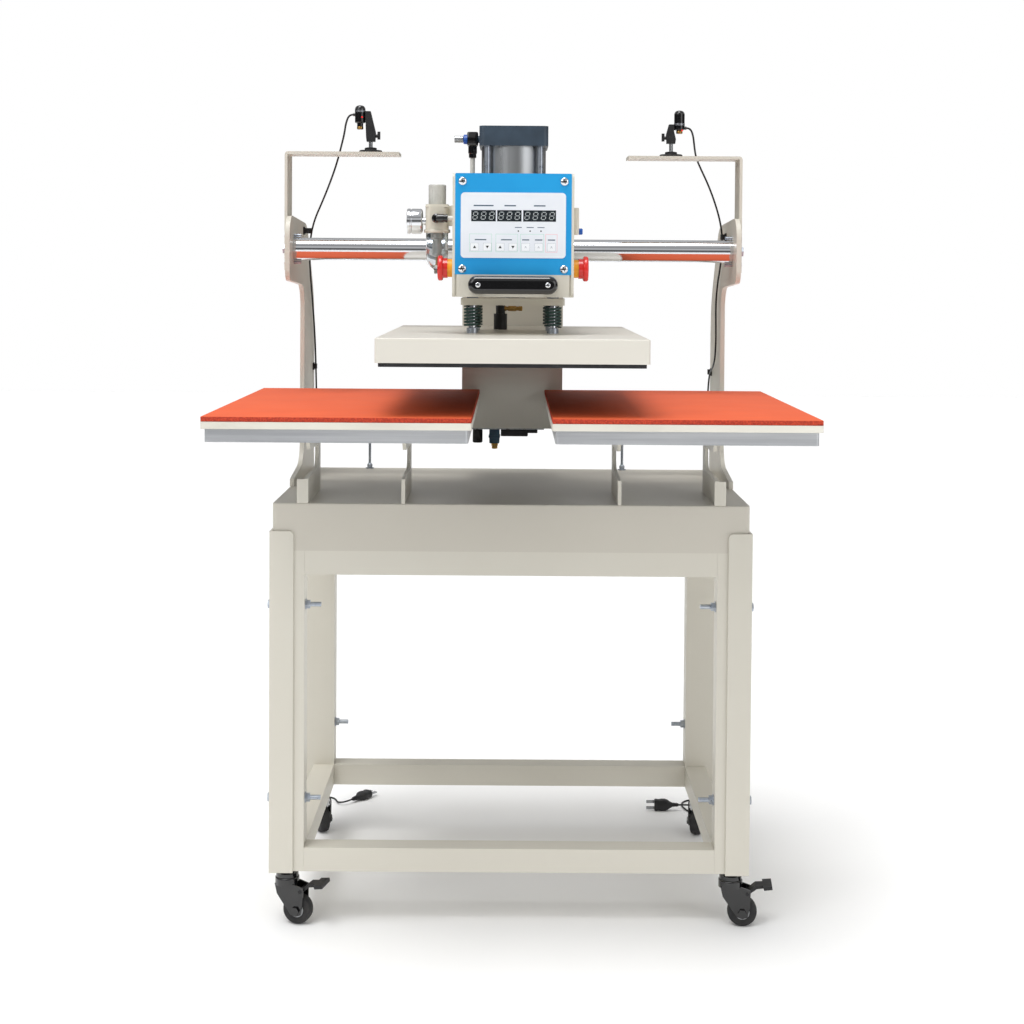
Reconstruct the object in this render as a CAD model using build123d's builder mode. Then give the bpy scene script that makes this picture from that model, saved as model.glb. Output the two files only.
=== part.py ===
from build123d import *
import math
import os

# Pneumatic heat press: one heating head shifts sideways on guide bars between two lower platens,
# above a wheeled stand. Millimetres. +X right, +Z up, the operator stands at -Y, floor at Z = 0.
os.makedirs("parts", exist_ok=True)

# ---------------------------------------------------------------- driving dimensions: stand
TABLE_WIDTH = 800
TABLE_FRONT = -92
TABLE_BACK = 407
TABLE_TOP = 716
TABLE_SKIRT = 80
SHEET = 2
LEG_SIZE = 40
LEG_WALL = 4
LEG_BOTTOM = 91.5
LEG_TOP = 669
POST_WIDTH = 54
TUBE = 40
TUBE_WALL = 2
FRAME_BOTTOM = 93.5
WELD_GAP = 0.2
BOLT_LEVELS = (213, 542)
M8_RADIUS = 4
M8_CLEAR = 4.2

# ---------------------------------------------------------------- driving dimensions: platens
PLATEN_WIDTH = 400
PLATEN_DEPTH = 600
PLATEN_FRONT = -407
PLATEN_X = 259.5
RAIL_RIM_INSET = 5
FRAME_LOW = 850
PLATE_LOW = 870
PAD_LOW = 880.5
PAD_TOP = 888.5
BRACKET_WALL = 6
OUTER_BRACKET_X = 343
INNER_BRACKET_X = 181

# ---------------------------------------------------------------- driving dimensions: uprights, bars
UPRIGHT_WALL = 8
UPRIGHT_INNER = TABLE_WIDTH / 2 - UPRIGHT_WALL
BAR_Y = 108
BAR_Z = 1144
BAR_RADIUS = 20
LOWER_BAR_Y = 320
LOWER_BAR_Z = 852
LOWER_BAR_RADIUS = 15
SIDE_BOLT_PITCH = 24
RUNNING_GAP = 0.05
FREE_GAP = 0.3

# ---------------------------------------------------------------- driving dimensions: head
HEAD_HALF = 93
HEAD_FRONT = 33
HEAD_LOW = 1108
COLUMN_FRONT = 205
COLUMN_BACK = 345
COLUMN_LOW = 815
COLUMN_TOP = 1200
CARRIAGE_SHEET = 4
BRIDGE_LOW = 1138
BRIDGE_TOP = 1150
CYL_Y = -107
CAP_SIZE = 112
LOWER_CAP_TOP = 1185
UPPER_CAP_LOW = 1309
UPPER_CAP_TOP = 1341
BARREL_RADIUS = 53
BORE_RADIUS = 50
TIE_ROD_PITCH = 86
ROD_RADIUS = 12.5
BOX_FRONT = -255
BOX_BACK = -190
BOX_LOW = 1065
BOX_TOP = 1258
BOX_HALF = 91
FLANGE = 4
PANEL_FRONT = -258
PANEL_LOW = 1100
ESTOP_Y = -225
ESTOP_Z = 1110
FILTER_X = -122.5
FILTER_Y = -178
PORT_Z = 1189

# ---------------------------------------------------------------- driving dimensions: ram and heater
PRESS_LOW = 1051
PRESS_TOP = 1062
PRESS_WIDTH = 167
PRESS_DEPTH = 170
SPRING_PITCH = 130
SPRING_LOW = 1014
COVER_WIDTH = 406
COVER_DEPTH = 606
COVER_FRONT = -410
COVER_LOW = 969
COVER_TOP = 1005.8
HEATER_LOW = 963
HEATER_TOP = 985
HEATER_GAP = 4.5
GLAND_X = -21
GLAND_Y = 2

# ---------------------------------------------------------------- driving dimensions: casters
CASTER_X = 376
CASTER_FRONT_Y = -72
CASTER_BACK_Y = 387
WHEEL_RADIUS = 25
WHEEL_WIDTH = 20
TRAIL = 20
AXLE_RADIUS = 4
CUP_TOP = 79.7
CUP_LOW = 66

# ---------------------------------------------------------------- driving dimensions: lasers, leads
ARM_TOPS = {"left": 1316, "right": 1312}
STRIP = 5
STRIP_WIDTH = 60
CORD_RADIUS = 1.7
FLOOR_CORD = 1.8

table_mid_y = (TABLE_FRONT + TABLE_BACK) / 2
table_depth = TABLE_BACK - TABLE_FRONT
frame_top = TABLE_TOP - TABLE_SKIRT
platen_mid_y = PLATEN_FRONT + PLATEN_DEPTH / 2
cover_mid_y = COVER_FRONT + COVER_DEPTH / 2
leg_outer_x = TABLE_WIDTH / 2 + LEG_WALL
post_x = TABLE_WIDTH / 2 - POST_WIDTH / 2
post_inner_x = TABLE_WIDTH / 2 - POST_WIDTH
post_ys = (TABLE_FRONT + TUBE / 2, TABLE_BACK - TUBE / 2)
SIDES = (-1, 1)
ALONG_X = (0, 90, 0)
ALONG_Y = (90, 0, 0)


def rod_x(x_from, x_to, y, z, radius, mode=Mode.ADD):
    """A round bar along X between two X values."""
    with Locations(((x_from + x_to) / 2, y, z)):
        Cylinder(radius, abs(x_to - x_from), rotation=ALONG_X, mode=mode)


def rod_y(x, y_from, y_to, z, radius, mode=Mode.ADD):
    """A round bar along Y between two Y values."""
    with Locations((x, (y_from + y_to) / 2, z)):
        Cylinder(radius, abs(y_to - y_from), rotation=ALONG_Y, mode=mode)


def rod_z(x, y, z_from, z_to, radius, mode=Mode.ADD):
    """A round bar along Z between two Z values."""
    with Locations((x, y, (z_from + z_to) / 2)):
        Cylinder(radius, abs(z_to - z_from), mode=mode)


def block(x_range, y_range, z_range, mode=Mode.ADD):
    """A box given by its limits along each axis."""
    centre = [(low + high) / 2 for low, high in (x_range, y_range, z_range)]
    size = [abs(high - low) for low, high in (x_range, y_range, z_range)]
    with Locations(tuple(centre)):
        Box(*size, mode=mode)


def hex_x(x_from, x_to, y, z, across_flats):
    """A hexagon head or nut with its axis along X."""
    with BuildSketch(Plane.YZ.offset(min(x_from, x_to))) as hexagon:
        with Locations((y, z)):
            RegularPolygon(across_flats / 2, 6, major_radius=False)
    extrude(hexagon.sketch, amount=abs(x_to - x_from))


def hex_z(x, y, z_from, z_to, across_flats):
    """A hexagon head or nut with its axis along Z."""
    with BuildSketch(Plane.XY.offset(z_from)) as hexagon:
        with Locations((x, y)):
            RegularPolygon(across_flats / 2, 6, major_radius=False)
    extrude(hexagon.sketch, amount=z_to - z_from)


# ================================================================ stand
# The table is a folded sheet tray, open underneath.
with BuildPart() as table_top:
    with BuildSketch(Plane.XY.offset(frame_top)):
        with Locations((0, table_mid_y)):
            RectangleRounded(TABLE_WIDTH, table_depth, 8)
    extrude(amount=TABLE_SKIRT)
    fillet(table_top.edges().group_by(Axis.Z)[-1], radius=2.5)
    offset(amount=-SHEET, openings=table_top.faces().sort_by(Axis.Z)[0])
table_top.part.label = "table_top"
export_step(table_top.part, "parts/table_top.step")

# Four legs of steel angle, outside the tray's corners.
with BuildPart() as leg_angles:
    with BuildSketch(Plane.XY.offset(LEG_BOTTOM)):
        for side in SIDES:
            for end, edge_y in ((-1, TABLE_FRONT), (1, TABLE_BACK)):
                corner_x = side * leg_outer_x
                corner_y = edge_y + end * LEG_WALL
                half = LEG_SIZE / 2
                with Locations((corner_x - side * half, corner_y - end * half)):
                    Rectangle(LEG_SIZE, LEG_SIZE)
                inset = half + LEG_WALL / 2
                with Locations((corner_x - side * inset, corner_y - end * inset)):
                    Rectangle(LEG_SIZE - LEG_WALL, LEG_SIZE - LEG_WALL, mode=Mode.SUBTRACT)
    extrude(amount=LEG_TOP - LEG_BOTTOM)
    flange_edge_x = leg_outer_x - LEG_SIZE
    top_corners = leg_angles.edges().filter_by(Axis.Y).group_by(Axis.Z)[-1]
    fillet([e for e in top_corners if abs(abs(e.center().X) - flange_edge_x) < 0.1], radius=8)
    for side in SIDES:
        for y in post_ys:
            for z in BOLT_LEVELS:
                wall_inner = side * TABLE_WIDTH / 2
                rod_x(wall_inner - side, side * (leg_outer_x + 1), y, z, M8_CLEAR, Mode.SUBTRACT)
leg_angles.part.label = "leg_angles"
export_step(leg_angles.part, "parts/leg_angles.step")

# The welded inner frame: four posts and eight rails of square tube.
with BuildPart() as stand_frame:
    hollow = POST_WIDTH - 2 * TUBE_WALL
    for side in SIDES:
        for y in post_ys:
            post_side = (side * post_x - POST_WIDTH / 2, side * post_x + POST_WIDTH / 2)
            block(post_side, (y - TUBE / 2, y + TUBE / 2), (FRAME_BOTTOM, frame_top))
            block(
                (side * post_x - hollow / 2, side * post_x + hollow / 2),
                (y - TUBE / 2 + TUBE_WALL, y + TUBE / 2 - TUBE_WALL),
                (FRAME_BOTTOM + 2 * TUBE_WALL, frame_top),
                Mode.SUBTRACT,
            )
            rod_z(side * CASTER_X, y, FRAME_BOTTOM - 1, FRAME_BOTTOM + 6, 5.2, Mode.SUBTRACT)
            for z in BOLT_LEVELS:
                rod_x(side * (post_inner_x - 1), side * (TABLE_WIDTH / 2 + 1), y, z, M8_CLEAR, Mode.SUBTRACT)
    cross_half = post_inner_x - WELD_GAP
    for z in (FRAME_BOTTOM + TUBE / 2, frame_top - TUBE / 2):
        for y in post_ys:
            block((-cross_half, cross_half), (y - TUBE / 2, y + TUBE / 2), (z - TUBE / 2, z + TUBE / 2))
            inner = TUBE / 2 - TUBE_WALL
            block((-cross_half, cross_half), (y - inner, y + inner), (z - inner, z + inner), Mode.SUBTRACT)
        for side in SIDES:
            x = side * (post_inner_x + TUBE / 2)
            ends = (post_ys[0] + TUBE / 2 + WELD_GAP, post_ys[1] - TUBE / 2 - WELD_GAP)
            block((x - TUBE / 2, x + TUBE / 2), ends, (z - TUBE / 2, z + TUBE / 2))
            block((x - inner, x + inner), ends, (z - inner, z + inner), Mode.SUBTRACT)
stand_frame.part.label = "stand_frame"
export_step(stand_frame.part, "parts/stand_frame.step")

# Leg bolts with washers and nuts, and the two thin posts near the back of the table.
with BuildPart() as stand_fasteners:
    for side in SIDES:
        for y in post_ys:
            for z in BOLT_LEVELS:
                outer = side * leg_outer_x
                inner = side * post_inner_x
                hex_x(outer, outer + side * 5.5, y, z, 13)
                rod_x(outer, inner - side * 26, y, z, M8_RADIUS)
                rod_x(inner, inner - side * 1.6, y, z, 9)
                hex_x(inner - side * 1.6, inner - side * 8, y, z, 13)
    for x in (-280, 218):
        rod_z(x, TABLE_BACK - 14, TABLE_TOP, TABLE_TOP + 130, 2.7)
        rod_z(x, TABLE_BACK - 14, TABLE_TOP, TABLE_TOP + 2, 8)
        with Locations((x, TABLE_BACK - 14, TABLE_TOP + 6)):
            Sphere(5.5)
stand_fasteners.part.label = "stand_fasteners"
export_step(stand_fasteners.part, "parts/stand_fasteners.step")

# ================================================================ uprights and guide bars
# Side profile of an upright: foot, stem at the back, and a head that reaches forward to the bar.
# Each corner is its Y, its Z and the radius it is rounded to.
upright_outline = (
    (118, TABLE_TOP, 0), (118, 729, 0), (252, 747, 46), (256, 1078, 42), (50, 1088, 20),
    (50, 1204, 38), (292, 1194, 70), (406, 1045, 150), (406, TABLE_TOP, 0),
)

with BuildPart() as uprights:
    for x_from in (-TABLE_WIDTH / 2, UPRIGHT_INNER):
        with BuildSketch(Plane.YZ.offset(x_from)):
            with BuildLine():
                corners = [(y, z) for y, z, _ in upright_outline]
                radii = [radius for _, _, radius in upright_outline]
                FilletPolyline(*corners, radius=radii, close=True)
            make_face()
        extrude(amount=UPRIGHT_WALL)
        middle = x_from + UPRIGHT_WALL / 2
        rod_x(middle - 5, middle + 5, BAR_Y, BAR_Z, 5.2, Mode.SUBTRACT)
        rod_x(middle - 5, middle + 5, LOWER_BAR_Y, LOWER_BAR_Z, 5.2, Mode.SUBTRACT)
        for step in SIDES:
            rod_x(middle - 5, middle + 5, BAR_Y, BAR_Z + step * SIDE_BOLT_PITCH, 3.3, Mode.SUBTRACT)
uprights.part.label = "uprights"
export_step(uprights.part, "parts/uprights.step")

# Two ground steel bars between the uprights, drilled at both ends for their bolts.
with BuildPart() as guide_bars:
    for y, z, radius in ((BAR_Y, BAR_Z, BAR_RADIUS), (LOWER_BAR_Y, LOWER_BAR_Z, LOWER_BAR_RADIUS)):
        rod_x(-UPRIGHT_INNER, UPRIGHT_INNER, y, z, radius)
        for side in SIDES:
            rod_x(side * (UPRIGHT_INNER - 22), side * (UPRIGHT_INNER + 1), y, z, 5.2, Mode.SUBTRACT)
guide_bars.part.label = "guide_bars"
export_step(guide_bars.part, "parts/guide_bars.step")

with BuildPart() as bar_bolts:
    for side in SIDES:
        face = side * (TABLE_WIDTH / 2 + STRIP)
        hex_x(face, face + side * 6.5, BAR_Y, BAR_Z, 16)
        rod_x(face, side * (UPRIGHT_INNER - 20), BAR_Y, BAR_Z, 5)
        for step in SIDES:
            z = BAR_Z + step * SIDE_BOLT_PITCH
            hex_x(face, face + side * 4, BAR_Y, z, 10)
            rod_x(face, side * (UPRIGHT_INNER - 13), BAR_Y, z, 3)
        plate = side * TABLE_WIDTH / 2
        hex_x(plate, plate + side * 6.5, LOWER_BAR_Y, LOWER_BAR_Z, 16)
        rod_x(plate, side * (UPRIGHT_INNER - 20), LOWER_BAR_Y, LOWER_BAR_Z, 5)
bar_bolts.part.label = "bar_bolts"
export_step(bar_bolts.part, "parts/bar_bolts.step")

# ================================================================ lower platens
# Each bracket is a plate shaped like a C, open towards the operator.
bracket_outline = (
    (TABLE_FRONT, TABLE_TOP, 0), (TABLE_FRONT, 757, 0), (50, 761, 24), (50, 800, 7),
    (-64, 803, 10), (-88, 830, 8), (TABLE_FRONT, FRAME_LOW, 0), (80, FRAME_LOW, 0), (80, TABLE_TOP, 0),
)

with BuildPart() as platen_brackets:
    for side in SIDES:
        for x in (OUTER_BRACKET_X, INNER_BRACKET_X):
            x_from = side * x - BRACKET_WALL / 2
            with BuildSketch(Plane.YZ.offset(x_from)):
                with BuildLine():
                    corners = [(y, z) for y, z, _ in bracket_outline]
                    radii = [radius for _, _, radius in bracket_outline]
                    FilletPolyline(*corners, radius=radii, close=True)
                make_face()
            extrude(amount=BRACKET_WALL)
        tab_from = side * (OUTER_BRACKET_X + BRACKET_WALL / 2)
        block((tab_from, tab_from + side * 13), (TABLE_FRONT, TABLE_FRONT + 6), (TABLE_TOP, 756))
platen_brackets.part.label = "platen_brackets"
export_step(platen_brackets.part, "parts/platen_brackets.step")

# Aluminium carrier of each platen: a 20 mm plate, pocketed from below between its ribs.
with BuildPart() as platen_frames:
    rim_width = PLATEN_WIDTH - 2 * RAIL_RIM_INSET
    rim_depth = PLATEN_DEPTH - 2 * RAIL_RIM_INSET
    for side in SIDES:
        with BuildSketch(Plane.XY.offset(FRAME_LOW)):
            with Locations((side * PLATEN_X, platen_mid_y)):
                RectangleRounded(rim_width, rim_depth, 5)
        extrude(amount=PLATE_LOW - FRAME_LOW)
        ribs = (
            side * PLATEN_X - rim_width / 2 + 12, side * INNER_BRACKET_X,
            side * OUTER_BRACKET_X, side * PLATEN_X + rim_width / 2 - 12,
        )
        ribs = sorted(ribs)
        for left, right in zip(ribs[:-1], ribs[1:]):
            pocket_y = (platen_mid_y - rim_depth / 2 + 24, platen_mid_y + rim_depth / 2 - 24)
            block((left + 12, right - 12), pocket_y, (FRAME_LOW, PLATE_LOW - 5), Mode.SUBTRACT)
platen_frames.part.label = "platen_frames"
export_step(platen_frames.part, "parts/platen_frames.step")

with BuildPart() as platen_plates:
    with BuildSketch(Plane.XY.offset(PLATE_LOW)):
        with Locations((-PLATEN_X, platen_mid_y), (PLATEN_X, platen_mid_y)):
            RectangleRounded(PLATEN_WIDTH, PLATEN_DEPTH, 3)
    extrude(amount=PAD_LOW - PLATE_LOW)
platen_plates.part.label = "platen_plates"
export_step(platen_plates.part, "parts/platen_plates.step")

with BuildPart() as platen_pads:
    with BuildSketch(Plane.XY.offset(PAD_LOW)):
        with Locations((-PLATEN_X, platen_mid_y), (PLATEN_X, platen_mid_y)):
            RectangleRounded(PLATEN_WIDTH, PLATEN_DEPTH, 2)
    extrude(amount=PAD_TOP - PAD_LOW)
platen_pads.part.label = "platen_pads"
export_step(platen_pads.part, "parts/platen_pads.step")

# ================================================================ casters
CASTERS = {
    "front_left": (-CASTER_X, CASTER_FRONT_Y, -14),
    "front_right": (CASTER_X, CASTER_FRONT_Y, -6),
    "rear_left": (-CASTER_X, CASTER_BACK_Y, -68),
    "rear_right": (CASTER_X, CASTER_BACK_Y, -108),
}

with BuildPart() as caster_stems:
    for x, y, heading in CASTERS.values():
        hex_z(x, y, 86.5, FRAME_BOTTOM, 19)
        rod_z(x, y, CUP_TOP + FREE_GAP, 86.5, 19)
        rod_z(x, y, CUP_LOW, FRAME_BOTTOM + 16, 5)
caster_stems.part.label = "caster_stems"
export_step(caster_stems.part, "parts/caster_stems.step")


def fork_leg_outline():
    """Side outline of a fork leg: from the cup down to the axle, in the caster's own X and Z."""
    return (
        (-17, CUP_LOW + 3), (-13, 52), (TRAIL - 9, 18), (TRAIL, 15), (TRAIL + 9, 18),
        (TRAIL + 13, 36), (TRAIL + 14, CUP_LOW - 2), (TRAIL - 2, CUP_LOW + 3),
    )


for name, (stem_x, stem_y, heading) in CASTERS.items():
    ground = Plane((stem_x, stem_y, 0), x_dir=Vector(1, 0, 0).rotate(Axis.Z, heading), z_dir=(0, 0, 1))
    leg_plane = Plane(ground.origin, x_dir=ground.x_dir, z_dir=-ground.y_dir)

    with BuildPart() as caster_fork:
        with BuildSketch(ground.offset(CUP_LOW)):
            Circle(20.5)
        extrude(amount=CUP_TOP - CUP_LOW)
        fillet(caster_fork.edges().sort_by(Axis.Z)[-1], radius=3)
        for leg_side in SIDES:
            inner_wall = leg_side * (WHEEL_WIDTH / 2 + 2)
            with BuildSketch(leg_plane.offset(inner_wall)):
                Polygon(*fork_leg_outline())
            extrude(amount=leg_side * 2.5)
        with BuildSketch(ground.offset(CUP_LOW - 1)):
            Circle(5 + RUNNING_GAP)
        extrude(amount=CUP_TOP - CUP_LOW + 3, mode=Mode.SUBTRACT)
        with BuildSketch(leg_plane.offset(-WHEEL_WIDTH)):
            with Locations((TRAIL + 8, 58)):
                Circle(3 + RUNNING_GAP)
        extrude(amount=2 * WHEEL_WIDTH, mode=Mode.SUBTRACT)
        with BuildSketch(leg_plane.offset(-WHEEL_WIDTH / 2 - 7)):
            with Locations((TRAIL, WHEEL_RADIUS)):
                Circle(AXLE_RADIUS)
        extrude(amount=WHEEL_WIDTH + 14)
        for end in SIDES:
            with BuildSketch(leg_plane.offset(end * (WHEEL_WIDTH / 2 + 4.5))):
                with Locations((TRAIL, WHEEL_RADIUS)):
                    RegularPolygon(6.5, 6, major_radius=False)
            extrude(amount=end * 4)
    caster_fork.part.label = f"caster_fork_{name}"
    export_step(caster_fork.part, f"parts/caster_fork_{name}.step")

    with BuildPart() as caster_wheel:
        with BuildSketch(leg_plane.offset(-WHEEL_WIDTH / 2)):
            with Locations((TRAIL, WHEEL_RADIUS)):
                Circle(WHEEL_RADIUS)
        extrude(amount=WHEEL_WIDTH)
        fillet(caster_wheel.edges(), radius=4)
        for end in SIDES:
            with BuildSketch(leg_plane.offset(end * WHEEL_WIDTH / 2)):
                with Locations((TRAIL, WHEEL_RADIUS)):
                    Circle(16.5)
                    Circle(8, mode=Mode.SUBTRACT)
            extrude(amount=-end * 3, mode=Mode.SUBTRACT)
        with BuildSketch(leg_plane.offset(-WHEEL_WIDTH)):
            with Locations((TRAIL, WHEEL_RADIUS)):
                Circle(AXLE_RADIUS + RUNNING_GAP)
        extrude(amount=2 * WHEEL_WIDTH, mode=Mode.SUBTRACT)
    caster_wheel.part.label = f"caster_wheel_{name}"
    export_step(caster_wheel.part, f"parts/caster_wheel_{name}.step")

    if name.startswith("front"):
        with BuildPart() as brake_pedal:
            with BuildSketch(leg_plane.offset(-WHEEL_WIDTH / 2 - 5.2)):
                with Locations((TRAIL + 8, 58)):
                    Circle(3)
            extrude(amount=WHEEL_WIDTH + 10.4)
            with BuildSketch(leg_plane.offset(-WHEEL_WIDTH / 2 - 0.6)):
                Polygon(
                    (TRAIL + 5, 57), (TRAIL + 11, 56), (TRAIL + 24, 66), (TRAIL + 50, 70),
                    (TRAIL + 49, 74), (TRAIL + 22, 71.5),
                )
            extrude(amount=WHEEL_WIDTH + 1.2)
            with BuildSketch(leg_plane.offset(-19)):
                Polygon((TRAIL + 36, 67), (TRAIL + 50, 69), (TRAIL + 49, 74.5), (TRAIL + 34, 73))
            extrude(amount=38)
        brake_pedal.part.label = f"brake_pedal_{name}"
        export_step(brake_pedal.part, f"parts/brake_pedal_{name}.step")

# ================================================================ sliding head: carriage
# Welded carriage: it reaches over the heating platen from a column that stands behind the platens.
carriage_outline = (
    (HEAD_FRONT, HEAD_LOW), (COLUMN_FRONT, HEAD_LOW), (COLUMN_FRONT, COLUMN_LOW), (COLUMN_BACK, COLUMN_LOW),
    (COLUMN_BACK, COLUMN_TOP - 40), (COLUMN_BACK - 40, COLUMN_TOP), (HEAD_FRONT, COLUMN_TOP),
)
with BuildPart() as carriage_housing:
    for side in SIDES:
        with BuildSketch(Plane.YZ.offset(side * (HEAD_HALF - CARRIAGE_SHEET / 2) - CARRIAGE_SHEET / 2)):
            Polygon(*carriage_outline, align=None)
        extrude(amount=CARRIAGE_SHEET)
        rod_x(side * (HEAD_HALF - 5), side * (HEAD_HALF + 1), BAR_Y, BAR_Z, 31, Mode.SUBTRACT)
        rod_x(side * (HEAD_HALF - 5), side * (HEAD_HALF + 1), LOWER_BAR_Y, LOWER_BAR_Z, 18, Mode.SUBTRACT)
    across = (-HEAD_HALF, HEAD_HALF)
    block(across, (COLUMN_FRONT, COLUMN_FRONT + CARRIAGE_SHEET), (COLUMN_LOW, HEAD_LOW))
    block(across, (HEAD_FRONT, COLUMN_FRONT + CARRIAGE_SHEET), (HEAD_LOW, HEAD_LOW + CARRIAGE_SHEET))
    block(across, (HEAD_FRONT, HEAD_FRONT + 8), (HEAD_LOW, COLUMN_TOP))
    block(across, (HEAD_FRONT, COLUMN_BACK - 40), (COLUMN_TOP - CARRIAGE_SHEET, COLUMN_TOP))
    block(across, (COLUMN_FRONT, COLUMN_BACK), (COLUMN_LOW, COLUMN_LOW + CARRIAGE_SHEET))
    block(across, (BOX_BACK, HEAD_FRONT), (BRIDGE_LOW, BRIDGE_TOP))
    for side in SIDES:
        with BuildSketch(Plane.YZ.offset(side * 78 - 3)):
            gusset = ((HEAD_FRONT, BRIDGE_TOP), (-40, BRIDGE_TOP), (-40, 1156), (HEAD_FRONT, COLUMN_TOP))
            Polygon(*gusset, align=None)
        extrude(amount=6)
    rod_z(0, CYL_Y, BRIDGE_LOW - 1, BRIDGE_TOP + 1, 16, Mode.SUBTRACT)
carriage_housing.part.label = "carriage_housing"
export_step(carriage_housing.part, "parts/carriage_housing.step")

# Linear bearings on the upper bar, and the bored shoe that runs on the lower bar.
with BuildPart() as carriage_bearings:
    for side in SIDES:
        rod_x(side * 46, side * 95, BAR_Y, BAR_Z, 31)
        rod_x(side * 45, side * 96, BAR_Y, BAR_Z, BAR_RADIUS + RUNNING_GAP, Mode.SUBTRACT)
    shoe_half = HEAD_HALF - CARRIAGE_SHEET
    shoe_y = (LOWER_BAR_Y - 20, LOWER_BAR_Y + 20)
    shoe_z = (LOWER_BAR_Z - 19, LOWER_BAR_Z + 19)
    block((-shoe_half, shoe_half), shoe_y, shoe_z)
    lower_bore = LOWER_BAR_RADIUS + RUNNING_GAP
    rod_x(-shoe_half - 1, shoe_half + 1, LOWER_BAR_Y, LOWER_BAR_Z, lower_bore, Mode.SUBTRACT)
carriage_bearings.part.label = "carriage_bearings"
export_step(carriage_bearings.part, "parts/carriage_bearings.step")

# ================================================================ sliding head: cylinder
with BuildPart() as cylinder_caps:
    for low, high in ((BRIDGE_TOP, LOWER_CAP_TOP), (UPPER_CAP_LOW, UPPER_CAP_TOP)):
        with BuildSketch(Plane.XY.offset(low)):
            with Locations((0, CYL_Y)):
                RectangleRounded(CAP_SIZE, CAP_SIZE, 9)
        extrude(amount=high - low)
    with Locations(Plane((0, CYL_Y, UPPER_CAP_TOP))):
        with GridLocations(TIE_ROD_PITCH, TIE_ROD_PITCH, 2, 2):
            Hole(radius=5.6)
            CounterBoreHole(radius=5.6, counter_bore_radius=10, counter_bore_depth=9, depth=UPPER_CAP_TOP)
    rod_z(0, CYL_Y, BRIDGE_TOP - 1, LOWER_CAP_TOP + 1, ROD_RADIUS + RUNNING_GAP, Mode.SUBTRACT)
cylinder_caps.part.label = "cylinder_caps"
export_step(cylinder_caps.part, "parts/cylinder_caps.step")

with BuildPart() as cylinder_barrel:
    rod_z(0, CYL_Y, LOWER_CAP_TOP, UPPER_CAP_LOW, BARREL_RADIUS)
    rod_z(0, CYL_Y, LOWER_CAP_TOP, UPPER_CAP_LOW, BORE_RADIUS, Mode.SUBTRACT)
cylinder_barrel.part.label = "cylinder_barrel"
export_step(cylinder_barrel.part, "parts/cylinder_barrel.step")

with BuildPart() as tie_rods:
    with BuildSketch(Plane.XY.offset(BRIDGE_TOP)):
        with Locations((0, CYL_Y)):
            with GridLocations(TIE_ROD_PITCH, TIE_ROD_PITCH, 2, 2):
                Circle(5.3)
    extrude(amount=UPPER_CAP_TOP - 2 - BRIDGE_TOP)
    for x in SIDES:
        for y in SIDES:
            rod_x_at = x * TIE_ROD_PITCH / 2
            hex_z(rod_x_at, CYL_Y + y * TIE_ROD_PITCH / 2, UPPER_CAP_TOP - 9, UPPER_CAP_TOP - 1, 16)
tie_rods.part.label = "tie_rods"
export_step(tie_rods.part, "parts/tie_rods.step")

# ================================================================ sliding head: control box
with BuildPart() as control_box:
    block((-BOX_HALF, BOX_HALF), (BOX_FRONT, BOX_BACK), (BOX_LOW, BOX_TOP))
    block(
        (-BOX_HALF + SHEET, BOX_HALF - SHEET), (BOX_FRONT + SHEET, BOX_BACK - SHEET),
        (BOX_LOW + SHEET, BOX_TOP - SHEET), Mode.SUBTRACT,
    )
    block((-BOX_HALF + 3, BOX_HALF - 3), (PANEL_FRONT, BOX_FRONT), (BOX_LOW, PANEL_LOW))
    for side in SIDES:
        with BuildSketch(Plane.YZ.offset(side * (BOX_HALF + FLANGE / 2) - FLANGE / 2)):
            with Locations(((PANEL_FRONT + BOX_BACK) / 2, (BOX_LOW + BOX_TOP) / 2)):
                RectangleRounded(BOX_BACK - PANEL_FRONT, BOX_TOP - BOX_LOW, 7)
        extrude(amount=FLANGE)
control_box.part.label = "control_box"
export_step(control_box.part, "parts/control_box.step")

panel_mid_z = (PANEL_LOW + BOX_TOP) / 2
with BuildPart() as control_panel:
    with BuildSketch(Plane.XZ.offset(-BOX_FRONT)):
        with Locations((0, panel_mid_z)):
            RectangleRounded(2 * BOX_HALF, BOX_TOP - PANEL_LOW, 2)
    extrude(amount=BOX_FRONT - PANEL_FRONT)
control_panel.part.label = "control_panel"
export_step(control_panel.part, "parts/control_panel.step")

KEYPAD_FACE = PANEL_FRONT - 0.8
with BuildPart() as keypad:
    with BuildSketch(Plane.XZ.offset(-PANEL_FRONT)):
        with Locations((0, 1177)):
            RectangleRounded(164, 102, 6)
    extrude(amount=PANEL_FRONT - KEYPAD_FACE)
keypad.part.label = "keypad"
export_step(keypad.part, "parts/keypad.step")

HANDLE_LOW = 1070
HANDLE_TOP = 1098
HANDLE_HALF = 69.5
HANDLE_FRONT = -292
HANDLE_BAR_BACK = -281
with BuildPart() as panel_screws:
    for x in (-79.5, 79.5):
        for z in (1109, 1245.5):
            rod_y(x, PANEL_FRONT, PANEL_FRONT - 3.4, z, 6.5)
    for x in (-54, 54):
        rod_y(x, HANDLE_FRONT, HANDLE_FRONT - 1.6, 1084, 4.2)
    for edge in panel_screws.edges().filter_by(GeomType.CIRCLE).group_by(Axis.Y)[0]:
        fillet(edge, radius=1.2)
panel_screws.part.label = "panel_screws"
export_step(panel_screws.part, "parts/panel_screws.step")

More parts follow.
